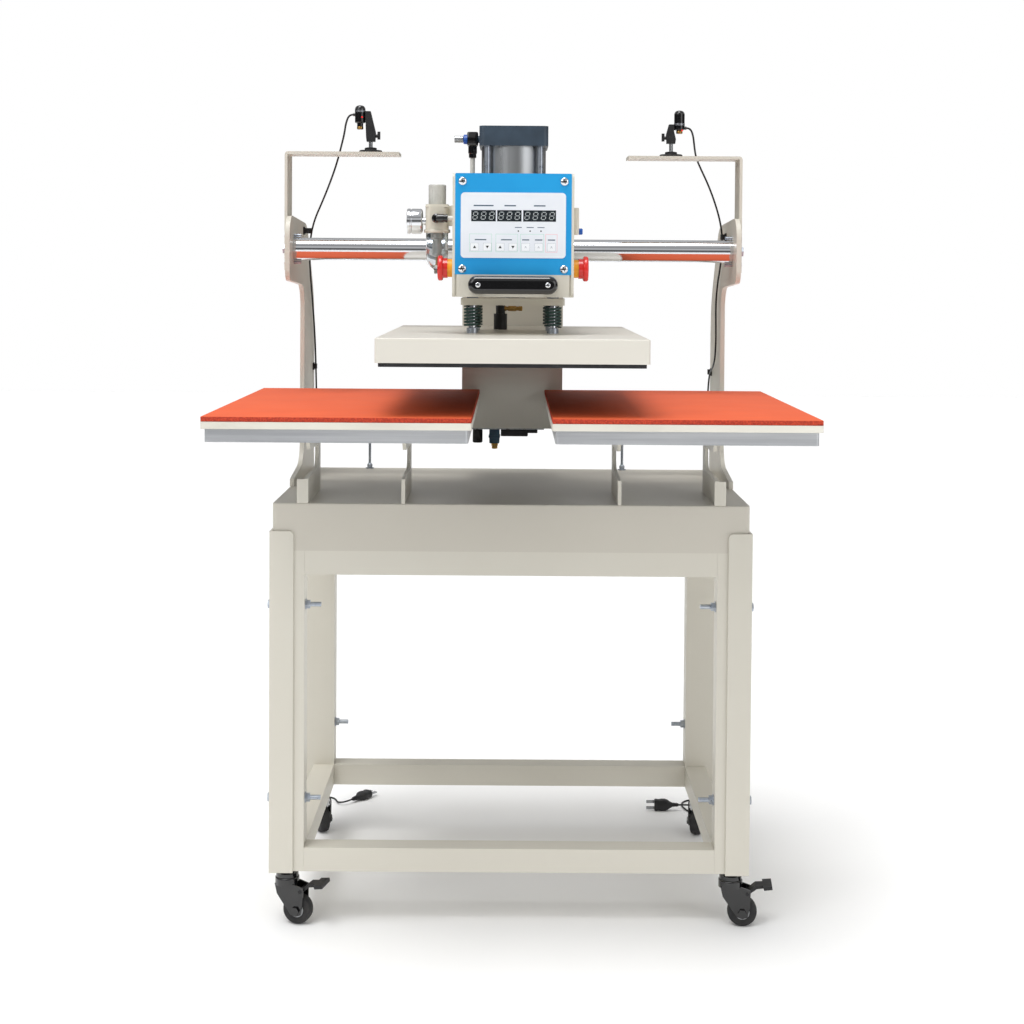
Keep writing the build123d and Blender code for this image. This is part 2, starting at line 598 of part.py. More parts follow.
with BuildPart() as front_handle:
    with BuildSketch(Plane.XZ.offset(-PANEL_FRONT)):
        with Locations((0, (HANDLE_LOW + HANDLE_TOP) / 2)):
            RectangleRounded(2 * HANDLE_HALF, HANDLE_TOP - HANDLE_LOW, 13.5)
    extrude(amount=PANEL_FRONT - HANDLE_FRONT)
    fillet(front_handle.faces().sort_by(Axis.Y)[0].edges(), radius=8)
    block((-47, 47), (HANDLE_BAR_BACK, PANEL_FRONT + 1), (HANDLE_LOW - 1, HANDLE_TOP + 1), Mode.SUBTRACT)
front_handle.part.label = "front_handle"
export_step(front_handle.part, "parts/front_handle.step")

# ================================================================ emergency stops
box_side = BOX_HALF + FLANGE
with BuildPart() as estop_bases:
    for side in SIDES:
        rod_x(side * box_side, side * (box_side + 9.5), ESTOP_Y, ESTOP_Z, 14.3)
        rod_x(side * (box_side + 2), side * (box_side + 10), ESTOP_Y, ESTOP_Z, 6, Mode.SUBTRACT)
estop_bases.part.label = "estop_bases"
export_step(estop_bases.part, "parts/estop_bases.step")

for name, side in (("left", -1), ("right", 1)):
    with BuildPart() as estop_button:
        rod_x(side * (box_side + 8.6), side * (box_side + 15.6), ESTOP_Y, ESTOP_Z, 15.8)
        rod_x(side * (box_side + 15.6), side * (box_side + 24), ESTOP_Y, ESTOP_Z, 20)
        rims = estop_button.edges().filter_by(GeomType.CIRCLE).filter_by(lambda e: e.radius > 19)
        fillet(rims, radius=3)
        rod_x(side * (box_side + 8), side * (box_side + 14.2), ESTOP_Y, ESTOP_Z, 14.8, Mode.SUBTRACT)
        rod_x(side * (box_side + 7), side * (box_side + 15), ESTOP_Y, ESTOP_Z, 5.5)
    estop_button.part.label = f"estop_{name}"
    export_step(estop_button.part, f"parts/estop_{name}.step")

# ================================================================ air preparation
FILTER_HALF = 18.3
FILTER_LOW = 1166.4
FILTER_TOP = 1212
BOWL_LOW = 1100
with BuildPart() as filter_body:
    with BuildSketch(Plane.XY.offset(FILTER_LOW)):
        with Locations((FILTER_X, FILTER_Y)):
            RectangleRounded(2 * FILTER_HALF, 2 * FILTER_HALF, 9)
    extrude(amount=FILTER_TOP - FILTER_LOW)
    rod_z(FILTER_X, FILTER_Y, FILTER_TOP, FILTER_TOP + 24, 8)
    block((FILTER_X + FILTER_HALF - 2, -box_side), (FILTER_Y - 9, FILTER_Y + 9), (1178, 1210))
    block((-box_side - 4, -box_side), (FILTER_Y - 22, FILTER_Y + 9), (1178, 1210))
    rod_y(FILTER_X, FILTER_Y + FILTER_HALF - 14, FILTER_Y + FILTER_HALF + 1, PORT_Z, 4.1, Mode.SUBTRACT)
filter_body.part.label = "filter_body"
export_step(filter_body.part, "parts/filter_body.step")

with BuildPart() as filter_bowl:
    with BuildSketch(Plane.XZ):
        with BuildLine():
            Polyline((0, BOWL_LOW), (5, BOWL_LOW), (5, 1109), (11, 1113), (17.5, 1124), (18, FILTER_LOW),
                     (16, FILTER_LOW), (15.6, 1125), (10, 1116), (0, 1113), close=True)
        make_face()
    revolve(axis=Axis.Z)
bowl = Pos(FILTER_X, FILTER_Y, 0) * filter_bowl.part
bowl.label = "filter_bowl"
export_step(bowl, "parts/filter_bowl.step")

with BuildPart() as regulator_knob:
    rod_z(FILTER_X, FILTER_Y, FILTER_TOP + FREE_GAP, FILTER_TOP + 32, 14)
    fillet(regulator_knob.edges().sort_by(Axis.Z)[-1], radius=2)
    rod_z(FILTER_X, FILTER_Y, FILTER_TOP, FILTER_TOP + 25, 8 + RUNNING_GAP, Mode.SUBTRACT)
    with Locations((FILTER_X, FILTER_Y, FILTER_TOP + 12)):
        with PolarLocations(14.4, 18):
            Cylinder(0.9, 22, mode=Mode.SUBTRACT)
regulator_knob.part.label = "regulator_knob"
export_step(regulator_knob.part, "parts/regulator_knob.step")

GAUGE_Z = 1185
filter_side = FILTER_X - FILTER_HALF
with BuildPart() as pressure_gauge:
    rod_x(filter_side, filter_side - 4.5, FILTER_Y, GAUGE_Z, 6)
    rod_x(filter_side - 4.5, filter_side - 30, FILTER_Y, GAUGE_Z, 20.5)
    rims = pressure_gauge.edges().filter_by(GeomType.CIRCLE).filter_by(lambda e: e.radius > 19)
    fillet(rims, radius=1.6)
pressure_gauge.part.label = "pressure_gauge"
export_step(pressure_gauge.part, "parts/pressure_gauge.step")

# Push-in fittings with their tubes: filter elbow, cylinder flow control; terminal box on the right.
CONTROL_X = -68
TUBE_RADIUS = 4
filter_front = FILTER_Y - FILTER_HALF
ELBOW_Y = filter_front - 12
with BuildPart() as air_fittings:
    rod_y(FILTER_X, filter_front, ELBOW_Y - 7, PORT_Z, 7)
    rod_x(FILTER_X, -104, ELBOW_Y, PORT_Z, 6.8)
    block((CONTROL_X - 9, CONTROL_X + 9), (CYL_Y - 10, CYL_Y + 10), (1312, 1335))
    rod_x(CONTROL_X + 9, -CAP_SIZE / 2, CYL_Y, 1323, 6)
    rod_x(CONTROL_X - 9, CONTROL_X - 15, CYL_Y, 1323, 8)
    rod_z(CONTROL_X, CYL_Y, 1292, 1312, 7.2)
    block((box_side, box_side + 8.5), (-238, -204), (1164, 1206))
    rod_x(box_side + 8.5, box_side + 15, -221, 1169, 5)
    rod_x(-104, -box_side, ELBOW_Y, PORT_Z, TUBE_RADIUS)
    with BuildLine() as drop:
        FilletPolyline(
            (CONTROL_X, CYL_Y, 1294), (CONTROL_X, CYL_Y, 1215),
            (CONTROL_X, -50, 1180), (CONTROL_X, -50, BRIDGE_TOP),
            radius=(38, 22),
        )
    with BuildSketch(Plane(drop.line @ 0, z_dir=drop.line % 0)):
        Circle(TUBE_RADIUS)
    sweep(path=drop.line)
air_fittings.part.label = "air_fittings"
export_step(air_fittings.part, "parts/air_fittings.step")

with BuildPart() as flow_needle:
    rod_x(CONTROL_X - 15 - FREE_GAP, CONTROL_X - 30, CYL_Y, 1323, 5.6)
    fillet(flow_needle.edges().filter_by(GeomType.CIRCLE), radius=0.8)
flow_needle.part.label = "flow_needle"
export_step(flow_needle.part, "parts/flow_needle.step")

# Directional valve under the column, with its coil and silencer.
VALVE_Y = 232
with BuildPart() as solenoid_valve:
    block((-78, 60), (VALVE_Y - 18, VALVE_Y + 68), (COLUMN_LOW - 3, COLUMN_LOW))
    block((-42, -23), (VALVE_Y - 14, VALVE_Y + 36), (785, COLUMN_LOW - 3))
    rod_z(-32, VALVE_Y, 774, 785, 5.5)
    block((-21, 48), (VALVE_Y - 14, VALVE_Y + 46), (799, COLUMN_LOW - 3))
    rod_z(-64, VALVE_Y, 786, COLUMN_LOW - 3, 9.5)
solenoid_valve.part.label = "solenoid_valve"
export_step(solenoid_valve.part, "parts/solenoid_valve.step")

# ================================================================ ram
with BuildPart() as piston_rod:
    rod_z(0, CYL_Y, PRESS_TOP, 1290, ROD_RADIUS)
    rod_z(0, CYL_Y, 1286, 1306, BORE_RADIUS - FREE_GAP)
    hex_z(0, CYL_Y, PRESS_TOP, PRESS_TOP + 9, 36)
piston_rod.part.label = "piston_rod"
export_step(piston_rod.part, "parts/piston_rod.step")

with BuildPart() as pressure_plate:
    with BuildSketch(Plane.XY.offset(PRESS_LOW)):
        with Locations((0, CYL_Y)):
            RectangleRounded(PRESS_WIDTH, PRESS_DEPTH, 4)
            with GridLocations(SPRING_PITCH, SPRING_PITCH, 2, 2):
                Circle(5 + FREE_GAP, mode=Mode.SUBTRACT)
    extrude(amount=PRESS_TOP - PRESS_LOW)
pressure_plate.part.label = "pressure_plate"
export_step(pressure_plate.part, "parts/pressure_plate.step")

with BuildPart() as pressure_springs:
    with BuildSketch(Plane.XY.offset(SPRING_LOW)):
        with Locations((0, CYL_Y)):
            with GridLocations(SPRING_PITCH, SPRING_PITCH, 2, 2):
                Circle(14)
                Circle(9.5, mode=Mode.SUBTRACT)
    extrude(amount=PRESS_LOW - SPRING_LOW)
pressure_springs.part.label = "pressure_springs"
export_step(pressure_springs.part, "parts/pressure_springs.step")

# ================================================================ heating platen
with BuildPart() as heating_plate:
    with BuildSketch(Plane.XY.offset(HEATER_LOW)):
        with Locations((0, cover_mid_y)):
            RectangleRounded(COVER_WIDTH - 2 * HEATER_GAP, COVER_DEPTH - 2 * HEATER_GAP, 6)
    extrude(amount=HEATER_TOP - HEATER_LOW)
heating_plate.part.label = "heating_plate"
export_step(heating_plate.part, "parts/heating_plate.step")

with BuildPart() as platen_cover:
    with BuildSketch(Plane.XY.offset(COVER_LOW)):
        with Locations((0, cover_mid_y)):
            RectangleRounded(COVER_WIDTH, COVER_DEPTH, 4)
    extrude(amount=COVER_TOP - COVER_LOW)
    fillet(platen_cover.edges().group_by(Axis.Z)[-1], radius=1.8)
    with BuildSketch(Plane.XY.offset(COVER_LOW)):
        with Locations((0, cover_mid_y)):
            RectangleRounded(COVER_WIDTH - 2 * SHEET, COVER_DEPTH - 2 * SHEET, 3)
    extrude(amount=COVER_TOP - SHEET - COVER_LOW, mode=Mode.SUBTRACT)
platen_cover.part.label = "platen_cover"
export_step(platen_cover.part, "parts/platen_cover.step")

with BuildPart() as spring_bolts:
    for x in SIDES:
        for y in SIDES:
            bolt_x = x * SPRING_PITCH / 2
            bolt_y = CYL_Y + y * SPRING_PITCH / 2
            rod_z(bolt_x, bolt_y, COVER_TOP, SPRING_LOW, 9.5)
            rod_z(bolt_x, bolt_y, COVER_TOP, PRESS_TOP + 11, 5)
            hex_z(bolt_x, bolt_y, PRESS_TOP + 0.2, PRESS_TOP + 8, 16)
spring_bolts.part.label = "spring_bolts"
export_step(spring_bolts.part, "parts/spring_bolts.step")

with BuildPart() as heater_gland:
    rod_z(GLAND_X, GLAND_Y, COVER_TOP, 1033, 11.5)
    rod_z(GLAND_X, GLAND_Y, 1033, 1047, 8)
heater_gland.part.label = "heater_gland"
export_step(heater_gland.part, "parts/heater_gland.step")

# ================================================================ alignment lasers
# Flat strips bent to a right angle, bolted outside the uprights, reach inwards above the platens.
STRIP_REACH = 203
with BuildPart() as laser_brackets:
    for name, side in (("left", -1), ("right", 1)):
        arm_top = ARM_TOPS[name]
        outer = TABLE_WIDTH / 2 + STRIP
        with BuildSketch(Plane.XZ.offset(-BAR_Y - STRIP_WIDTH / 2)):
            with BuildLine():
                Polyline(
                    (side * TABLE_WIDTH / 2, 1106), (side * outer, 1106), (side * outer, arm_top),
                    (side * STRIP_REACH, arm_top), (side * STRIP_REACH, arm_top - STRIP),
                    (side * TABLE_WIDTH / 2, arm_top - STRIP), close=True,
                )
            make_face()
        extrude(amount=STRIP_WIDTH)
        rod_x(side * 399, side * 406, BAR_Y, BAR_Z, 5.2, Mode.SUBTRACT)
        for step in SIDES:
            rod_x(side * 399, side * 406, BAR_Y, BAR_Z + step * SIDE_BOLT_PITCH, 3.3, Mode.SUBTRACT)
    fillet([e for e in laser_brackets.edges().filter_by(Axis.Y) if e.center().Z > 1300
            and abs(e.center().X) > 400.5], radius=6)
laser_brackets.part.label = "laser_brackets"
export_step(laser_brackets.part, "parts/laser_brackets.step")

# side, post X, capsule X, tilt axis Z, capsule's lowest and highest Z, nozzle's lowest Z
LASERS = {
    "left": (-1, -255.5, -274.5, 1384, 1369, 1400.5, 1358),
    "right": (1, 281, 295.5, 1364, 1360, 1395, 1354),
}
POST_TOP = 1349
CLAMP_LOW = 1336
CAPSULE_RADIUS = 9.3

with BuildPart() as laser_bases:
    for name, (_, post_at, *_) in LASERS.items():
        arm_top = ARM_TOPS[name]
        rod_z(post_at, BAR_Y, arm_top, arm_top + 4.5, 20.5)
        hex_z(post_at, BAR_Y, arm_top + 4.5, arm_top + 9.5, 11)
        rod_z(post_at, BAR_Y, arm_top + 9.5, POST_TOP, 3.5)
laser_bases.part.label = "laser_bases"
export_step(laser_bases.part, "parts/laser_bases.step")

for name, (side, post_at, head_at, tilt_z, low, high, nozzle_low) in LASERS.items():
    contact_x = head_at - side * (CAPSULE_RADIUS + 0.4)
    with BuildPart() as laser_arm:
        with BuildSketch(Plane.XZ.offset(-BAR_Y + 6)):
            Polygon(
                (post_at - side * 8, CLAMP_LOW), (post_at + side * 7, CLAMP_LOW), (post_at + side * 8, 1344),
                (contact_x, tilt_z - 7), (contact_x, tilt_z + 6), (contact_x - side * 9, tilt_z + 6),
                (post_at - side * 9, 1352),
            )
        extrude(amount=-12)
        rod_z(post_at, BAR_Y, CLAMP_LOW - 1, POST_TOP + 0.1, 3.5 + RUNNING_GAP, Mode.SUBTRACT)
        rod_x(contact_x, head_at + side * CAPSULE_RADIUS * 0.5, BAR_Y, tilt_z, 2)
        knob_x = post_at - side * 8
        rod_x(knob_x, knob_x - side * 5, BAR_Y, 1346, 3)
        block((knob_x - side * 4, knob_x - side * 9), (BAR_Y - 2, BAR_Y + 2), (1340, 1354))
    laser_arm.part.label = f"laser_arm_{name}"
    export_step(laser_arm.part, f"parts/laser_arm_{name}.step")

    with BuildPart() as laser_head:
        rod_z(head_at, BAR_Y, low, high, CAPSULE_RADIUS)
        fillet(laser_head.edges().sort_by(Axis.Z)[-1], radius=7)
        fillet(laser_head.edges().sort_by(Axis.Z)[0], radius=2)
        rod_z(head_at, BAR_Y, nozzle_low, low, 5.4)
        grommet_from = head_at + side * (CAPSULE_RADIUS - 3)
        rod_x(grommet_from, head_at + side * 12.5, BAR_Y, tilt_z, 3)
        pin_to = head_at + side * CAPSULE_RADIUS * 0.55
        rod_x(contact_x, pin_to, BAR_Y, tilt_z, 2 + RUNNING_GAP, Mode.SUBTRACT)
    laser_head.part.label = f"laser_head_{name}"
    export_step(laser_head.part, f"parts/laser_head_{name}.step")

# ================================================================ laser leads
# Each lead leaves the laser along its tilt axis, passes behind the strip, is clipped twice to the
# upright, hangs behind the table and ends on the floor in a two-pin plug.
CLIPS = {"left": ((240, 1180, 377.5), (387, 918, 384.4)), "right": ((190, 1172, 382), (384, 912, 384.4))}
LEAD_ROUTES = {
    "left": (
        (-287, 108, 1384), (-294, 108, 1384), (-300, 109, 1370), (-304, 119, 1350), (-310.5, 133, 1331),
        (-317, 146, 1311), (-329, 164, 1280), (-350, 196, 1237), (-372, 227, 1197), (-382, 250, 1158),
        (-386, 285, 1112), (-387, 322, 1066), (-387, 355, 1016), (-387, 380, 962), (-387, 394, 905),
        (-387, 404, 848), (-387, 411, 790), (-387, 416.5, 731), (-387, 421, 672), (-387.5, 424, 613),
        (-388, 426, 554), (-388.5, 427.2, 495), (-389, 428, 436), (-389.5, 428.2, 377), (-390, 428, 318),
        (-390.5, 427.5, 260), (-391, 426.5, 203), (-392, 426, 148), (-393, 428, 97), (-395, 434, 56),
        (-397, 446, 25), (-400, 467, 7), (-404, 493, FLOOR_CORD), (-406, 520, FLOOR_CORD),
        (-401, 548, FLOOR_CORD), (-387, 567, FLOOR_CORD), (-370, 566, FLOOR_CORD), (-361, 550, FLOOR_CORD),
        (-357, 532, 3.2), (-347, 521, 6.4), (-335, 525, 8), (-326, 537, 8),
    ),
    "right": (
        (308, 108, 1364), (315, 108, 1364), (320.5, 109, 1351), (324, 122, 1333), (330, 146, 1314),
        (340, 153, 1294), (354, 162, 1268), (368, 172, 1236), (380, 183, 1201), (385.5, 191, 1170),
        (386.5, 206, 1141), (387, 233, 1114), (386.5, 264, 1086), (386, 282, 1048), (386, 277, 1008),
        (386.5, 278, 970), (387, 298, 938), (387, 334, 921), (387, 368, 913), (387, 393, 887),
        (387, 403, 842), (387, 410.5, 786), (387, 416.5, 728), (387, 421, 669), (387.5, 424.5, 610),
        (388, 426.5, 551), (388.5, 427.7, 492), (389, 428.2, 433), (389.5, 428.3, 374), (390, 428, 315),
        (390.5, 427, 256), (391, 425.5, 197), (391, 425, 139), (390, 427, 88), (388, 433, 48),
        (384, 446, 19), (378, 466, 4), (371, 488, FLOOR_CORD), (362, 509, FLOOR_CORD), (357, 532, FLOOR_CORD),
        (363, 554, FLOOR_CORD), (379, 566, FLOOR_CORD), (396, 557, FLOOR_CORD), (402, 538, FLOOR_CORD),
        (397, 519, 4.4), (384, 508, 9.4), (366, 503, 12.2), (348, 503, 12.2),
    ),
}
PLUG_THIN_SIDES = {"left": (0, 0, 1), "right": (0, 1, 0)}

with BuildPart() as cord_clips:
    for name, side in (("left", -1), ("right", 1)):
        for y, z, reach in CLIPS[name]:
            block((side * 392, side * 389.5), (y - 8, y + 6), (z - 7, z + 7))
            block((side * 389.5, side * reach), (y - 5, y + 5), (z - 5, z + 5))
cord_clips.part.label = "cord_clips"
export_step(cord_clips.part, "parts/cord_clips.step")


def corner_radii(points):
    """The arc radius at each inner corner: 0.45 of the shorter run over the tangent of half the turn."""
    radii = []
    for before, corner, after in zip(points[:-2], points[1:-1], points[2:]):
        run_in = Vector(*corner) - Vector(*before)
        run_out = Vector(*after) - Vector(*corner)
        turn = math.radians(run_in.get_angle(run_out))
        radii.append(0.45 * min(run_in.length, run_out.length) / math.tan(turn / 2))
    return radii


for name, route in LEAD_ROUTES.items():
    radii = corner_radii(route)
    with BuildPart() as laser_cord:
        with BuildLine() as lead_path:
            FilletPolyline(*route, radius=radii)
        with BuildSketch(Plane(lead_path.line @ 0, z_dir=lead_path.line % 0)):
            Circle(CORD_RADIUS)
        sweep(path=lead_path.line)
    laser_cord.part.label = f"laser_cord_{name}"
    export_step(laser_cord.part, f"parts/laser_cord_{name}.step")
    lead_length = sum(edge.length for edge in lead_path.edges())
    volume_ratio = laser_cord.part.volume / (math.pi * CORD_RADIUS**2 * lead_length)
    print(f"lead {name}: {lead_length:.0f} long, bends {min(radii):.1f} and up, volume {volume_ratio:.4f}")

    # Two-pin flat-blade plug, its axis along the lead's last run.
    tail = Vector(*route[-1])
    forward = (tail - Vector(*route[-2])).normalized()
    plug_axis = Plane(tail, x_dir=PLUG_THIN_SIDES[name], z_dir=forward)
    with BuildPart() as laser_plug:
        with BuildSketch(plug_axis):
            Circle(3.2)
        with BuildSketch(plug_axis.offset(18)):
            Circle(5)
        loft()
        with BuildSketch(plug_axis.offset(16)):
            RectangleRounded(11, 13, 3)
        with BuildSketch(plug_axis.offset(27)):
            RectangleRounded(15.6, 24, 4)
        loft()
        with BuildSketch(plug_axis.offset(27)):
            RectangleRounded(15.6, 24, 4)
        extrude(amount=22)
        with BuildSketch(plug_axis.offset(49)):
            with Locations((0, -6.35), (0, 6.35)):
                Rectangle(1.5, 6.3)
        extrude(amount=17)
    laser_plug.part.label = f"laser_plug_{name}"
    export_step(laser_plug.part, f"parts/laser_plug_{name}.step")
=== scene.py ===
import math

import bmesh
import bpy
from mathutils import Matrix, Vector


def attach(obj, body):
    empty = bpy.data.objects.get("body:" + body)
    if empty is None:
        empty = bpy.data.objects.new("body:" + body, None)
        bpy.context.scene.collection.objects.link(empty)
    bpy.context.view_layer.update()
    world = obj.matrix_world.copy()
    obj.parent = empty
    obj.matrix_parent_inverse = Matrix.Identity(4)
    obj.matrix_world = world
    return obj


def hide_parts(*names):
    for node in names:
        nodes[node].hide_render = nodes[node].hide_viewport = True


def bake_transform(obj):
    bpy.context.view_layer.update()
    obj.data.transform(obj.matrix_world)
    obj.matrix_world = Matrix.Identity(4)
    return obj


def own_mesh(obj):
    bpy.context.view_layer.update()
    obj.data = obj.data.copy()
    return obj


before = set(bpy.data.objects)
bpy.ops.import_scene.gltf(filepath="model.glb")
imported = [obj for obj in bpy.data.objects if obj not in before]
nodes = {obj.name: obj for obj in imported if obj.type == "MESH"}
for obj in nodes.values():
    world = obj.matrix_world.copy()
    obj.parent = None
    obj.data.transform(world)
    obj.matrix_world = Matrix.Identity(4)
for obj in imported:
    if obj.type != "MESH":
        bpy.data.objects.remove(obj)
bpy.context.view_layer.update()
MM = 0.001


# ------------------------------------------------------------------ camera
camera_data = bpy.data.cameras.new("camera")
camera_data.sensor_width = 36
camera_data.lens = 56.13
camera_data.shift_y = -0.1838
camera_data.clip_end = 50
camera = bpy.data.objects.new("camera", camera_data)
bpy.context.collection.objects.link(camera)
camera.matrix_world = (
    Matrix.Translation((-0.001, -2.7525, 1.0985))
    @ Matrix.Rotation(math.pi / 2 - 0.0301, 4, "X")
    @ Matrix.Rotation(0.0068, 4, "Z")
)
bpy.context.scene.camera = camera


# ------------------------------------------------------------------ materials
def material(name, colour, rough, metal=0.0, grain=None, tint=None, rough_vary=0.0, stretch=(1, 1, 1),
             coat=0.0, dots=None, alpha=None, glow=None):
    """grain = (scale per metre, bump distance in mm); tint = (scale per metre, second colour, amount)."""
    m = bpy.data.materials.new(name)
    m.use_nodes = True
    tree = m.node_tree
    shader = tree.nodes["Principled BSDF"]
    shader.inputs["Base Color"].default_value = (*colour, 1)
    shader.inputs["Roughness"].default_value = rough
    shader.inputs["Metallic"].default_value = metal
    shader.inputs["Coat Weight"].default_value = coat
    shader.inputs["Coat Roughness"].default_value = 0.12
    place = tree.nodes.new("ShaderNodeTexCoord")
    mapping = tree.nodes.new("ShaderNodeMapping")
    mapping.inputs["Scale"].default_value = stretch
    tree.links.new(place.outputs["Object"], mapping.inputs["Vector"])

    def noise(scale, detail=4.0):
        texture = tree.nodes.new("ShaderNodeTexNoise")
        texture.inputs["Scale"].default_value = scale
        texture.inputs["Detail"].default_value = detail
        tree.links.new(mapping.outputs["Vector"], texture.inputs["Vector"])
        return texture

    if tint:
        scale, second, amount = tint
        texture = noise(scale)
        ramp = tree.nodes.new("ShaderNodeValToRGB")
        ramp.color_ramp.elements[0].position = 0.35
        ramp.color_ramp.elements[1].position = 0.68
        low = [a + (b - a) * amount for a, b in zip(colour, second)]
        ramp.color_ramp.elements[0].color = (*low, 1)
        ramp.color_ramp.elements[1].color = (*colour, 1)
        tree.links.new(texture.outputs["Fac"], ramp.inputs["Fac"])
        tree.links.new(ramp.outputs["Color"], shader.inputs["Base Color"])
    if rough_vary:
        texture = noise(tint[0] * 2 if tint else 30)
        span = tree.nodes.new("ShaderNodeMapRange")
        span.inputs["To Min"].default_value = max(0.02, rough - rough_vary)
        span.inputs["To Max"].default_value = min(1, rough + rough_vary)
        tree.links.new(texture.outputs["Fac"], span.inputs["Value"])
        tree.links.new(span.outputs["Result"], shader.inputs["Roughness"])
    if grain or dots:
        bump = tree.nodes.new("ShaderNodeBump")
        bump.inputs["Strength"].default_value = 1.0
        if dots:
            texture = tree.nodes.new("ShaderNodeTexVoronoi")
            texture.inputs["Scale"].default_value = dots[0]
            tree.links.new(mapping.outputs["Vector"], texture.inputs["Vector"])
            bump.inputs["Distance"].default_value = dots[1] * MM
            tree.links.new(texture.outputs["Distance"], bump.inputs["Height"])
        else:
            texture = noise(grain[0], 2.0)
            bump.inputs["Distance"].default_value = grain[1] * MM
            tree.links.new(texture.outputs["Fac"], bump.inputs["Height"])
        tree.links.new(bump.outputs["Normal"], shader.inputs["Normal"])
    if alpha is not None:
        shader.inputs["Transmission Weight"].default_value = 1.0
        shader.inputs["IOR"].default_value = alpha
    if glow:
        shader.inputs["Emission Color"].default_value = (*glow[0], 1)
        shader.inputs["Emission Strength"].default_value = glow[1]
    return m


def srgb(r, g, b):
    return tuple(((c / 255 + 0.055) / 1.055) ** 2.4 if c > 10 else c / 255 / 12.92 for c in (r, g, b))


powder = material("powder_coat", srgb(214, 210, 198), 0.4, grain=(900, 0.015),
                  tint=(5, srgb(196, 190, 176), 0.15), rough_vary=0.04)
table_coat = material("table_coat", srgb(204, 199, 187), 0.36, grain=(700, 0.008),
                      tint=(4, srgb(180, 172, 160), 0.06))
cover_coat = material("cover_coat", srgb(222, 218, 208), 0.34, grain=(900, 0.015),
                      tint=(4, srgb(208, 203, 192), 0.2), rough_vary=0.04)
panel_blue = material("panel_blue", srgb(28, 158, 222), 0.36, grain=(1300, 0.03),
                      tint=(9, srgb(20, 140, 205), 0.6), rough_vary=0.04)
slate = material("slate_cap", srgb(58, 74, 90), 0.42, grain=(600, 0.06), tint=(25, srgb(38, 50, 62), 0.7))
barrel = material("barrel_alu", srgb(188, 191, 194), 0.3, 0.95, tint=(60, srgb(160, 163, 166), 0.6),
                  stretch=(1, 1, 0.03), rough_vary=0.08)
rail_alu = material("rail_alu", srgb(206, 208, 211), 0.42, 0.9, tint=(160, srgb(160, 163, 168), 0.5),
                    stretch=(0.02, 0.02, 1), grain=(900, 0.01), rough_vary=0.06)
plate_cream = material("plate_cream", srgb(228, 225, 214), 0.42, grain=(700, 0.05),
                       tint=(8, srgb(208, 204, 192), 0.6))
chrome = material("chrome", srgb(222, 224, 228), 0.07, 1.0, tint=(20, srgb(205, 207, 211), 0.4),
                  stretch=(0.1, 1, 1), rough_vary=0.01)
zinc = material("zinc", srgb(190, 196, 204), 0.3, 1.0, tint=(90, srgb(150, 160, 176), 0.7),
                grain=(500, 0.02), rough_vary=0.1)
steel = material("turned_steel", srgb(176, 178, 180), 0.28, 1.0, tint=(120, srgb(140, 142, 145), 0.6),
                 rough_vary=0.08)
brass = material("brass", srgb(196, 158, 92), 0.3, 1.0, tint=(200, srgb(150, 112, 60), 0.6), rough_vary=0.1)
spring_green = material("spring_enamel", srgb(16, 62, 54), 0.4, coat=0.15, tint=(120, srgb(8, 30, 28), 0.5),
                        rough_vary=0.06)
pad_top = material("pad_silicone", srgb(228, 98, 52), 0.66, grain=(1500, 0.05),
                   tint=(14, srgb(214, 84, 44), 0.4), rough_vary=0.06)
pad_edge = material("pad_foam_edge", srgb(206, 70, 40), 0.85, dots=(520, 0.6),
                    tint=(420, srgb(140, 34, 20), 0.8))
stop_red = material("stop_red", srgb(226, 38, 30), 0.25, coat=0.4, tint=(30, srgb(200, 24, 20), 0.6),
                    grain=(400, 0.02))
stop_yellow = material("stop_yellow", srgb(250, 178, 40), 0.4, tint=(60, srgb(240, 150, 24), 0.7),
                       grain=(500, 0.03))
gloss_black = material("gloss_black", srgb(14, 14, 16), 0.09, coat=0.6, tint=(40, srgb(6, 6, 8), 0.6),
                       grain=(300, 0.01))
matte_black = material("moulded_black", srgb(26, 26, 28), 0.5, grain=(900, 0.06),
                       tint=(60, srgb(14, 14, 16), 0.6), rough_vary=0.1)
film = material("keypad_film", srgb(233, 237, 243), 0.32, grain=(1200, 0.02),
                tint=(20, srgb(222, 227, 236), 0.5))
window_dark = material("display_window", srgb(44, 50, 54), 0.12, tint=(60, srgb(30, 34, 38), 0.5))
digit_grey = material("display_segment", srgb(176, 182, 184), 0.4, tint=(300, srgb(150, 156, 160), 0.5))
ink_blue = material("ink_blue_grey", srgb(78, 98, 116), 0.6, tint=(300, srgb(62, 82, 100), 0.5))
ink_black = material("ink_black", srgb(22, 26, 30), 0.5, tint=(300, srgb(40, 44, 48), 0.5))
ink_green = material("ink_green", srgb(176, 222, 204), 0.6, tint=(300, srgb(160, 208, 190), 0.5))
ink_pink = material("ink_pink", srgb(244, 178, 184), 0.6, tint=(300, srgb(236, 160, 170), 0.5))
key_white = material("key_white", srgb(244, 247, 250), 0.4, tint=(100, srgb(232, 236, 242), 0.5))
ivory_plastic = material("ivory_plastic", srgb(224, 220, 206), 0.34, grain=(800, 0.03),
                         tint=(40, srgb(206, 200, 184), 0.5))
knob_grey = material("knob_smoke", srgb(206, 206, 200), 0.22, tint=(50, srgb(150, 150, 144), 0.6), coat=0.3)
tube_white = material("tube_white", srgb(226, 226, 220), 0.3, tint=(60, srgb(208, 208, 200), 0.5), coat=0.2)
blue_plastic = material("blue_plastic", srgb(24, 96, 190), 0.32, tint=(60, srgb(14, 74, 160), 0.6))
valve_blue = material("valve_blue", srgb(52, 88, 112), 0.4, grain=(600, 0.04), tint=(60, srgb(34, 62, 84), 0.6))
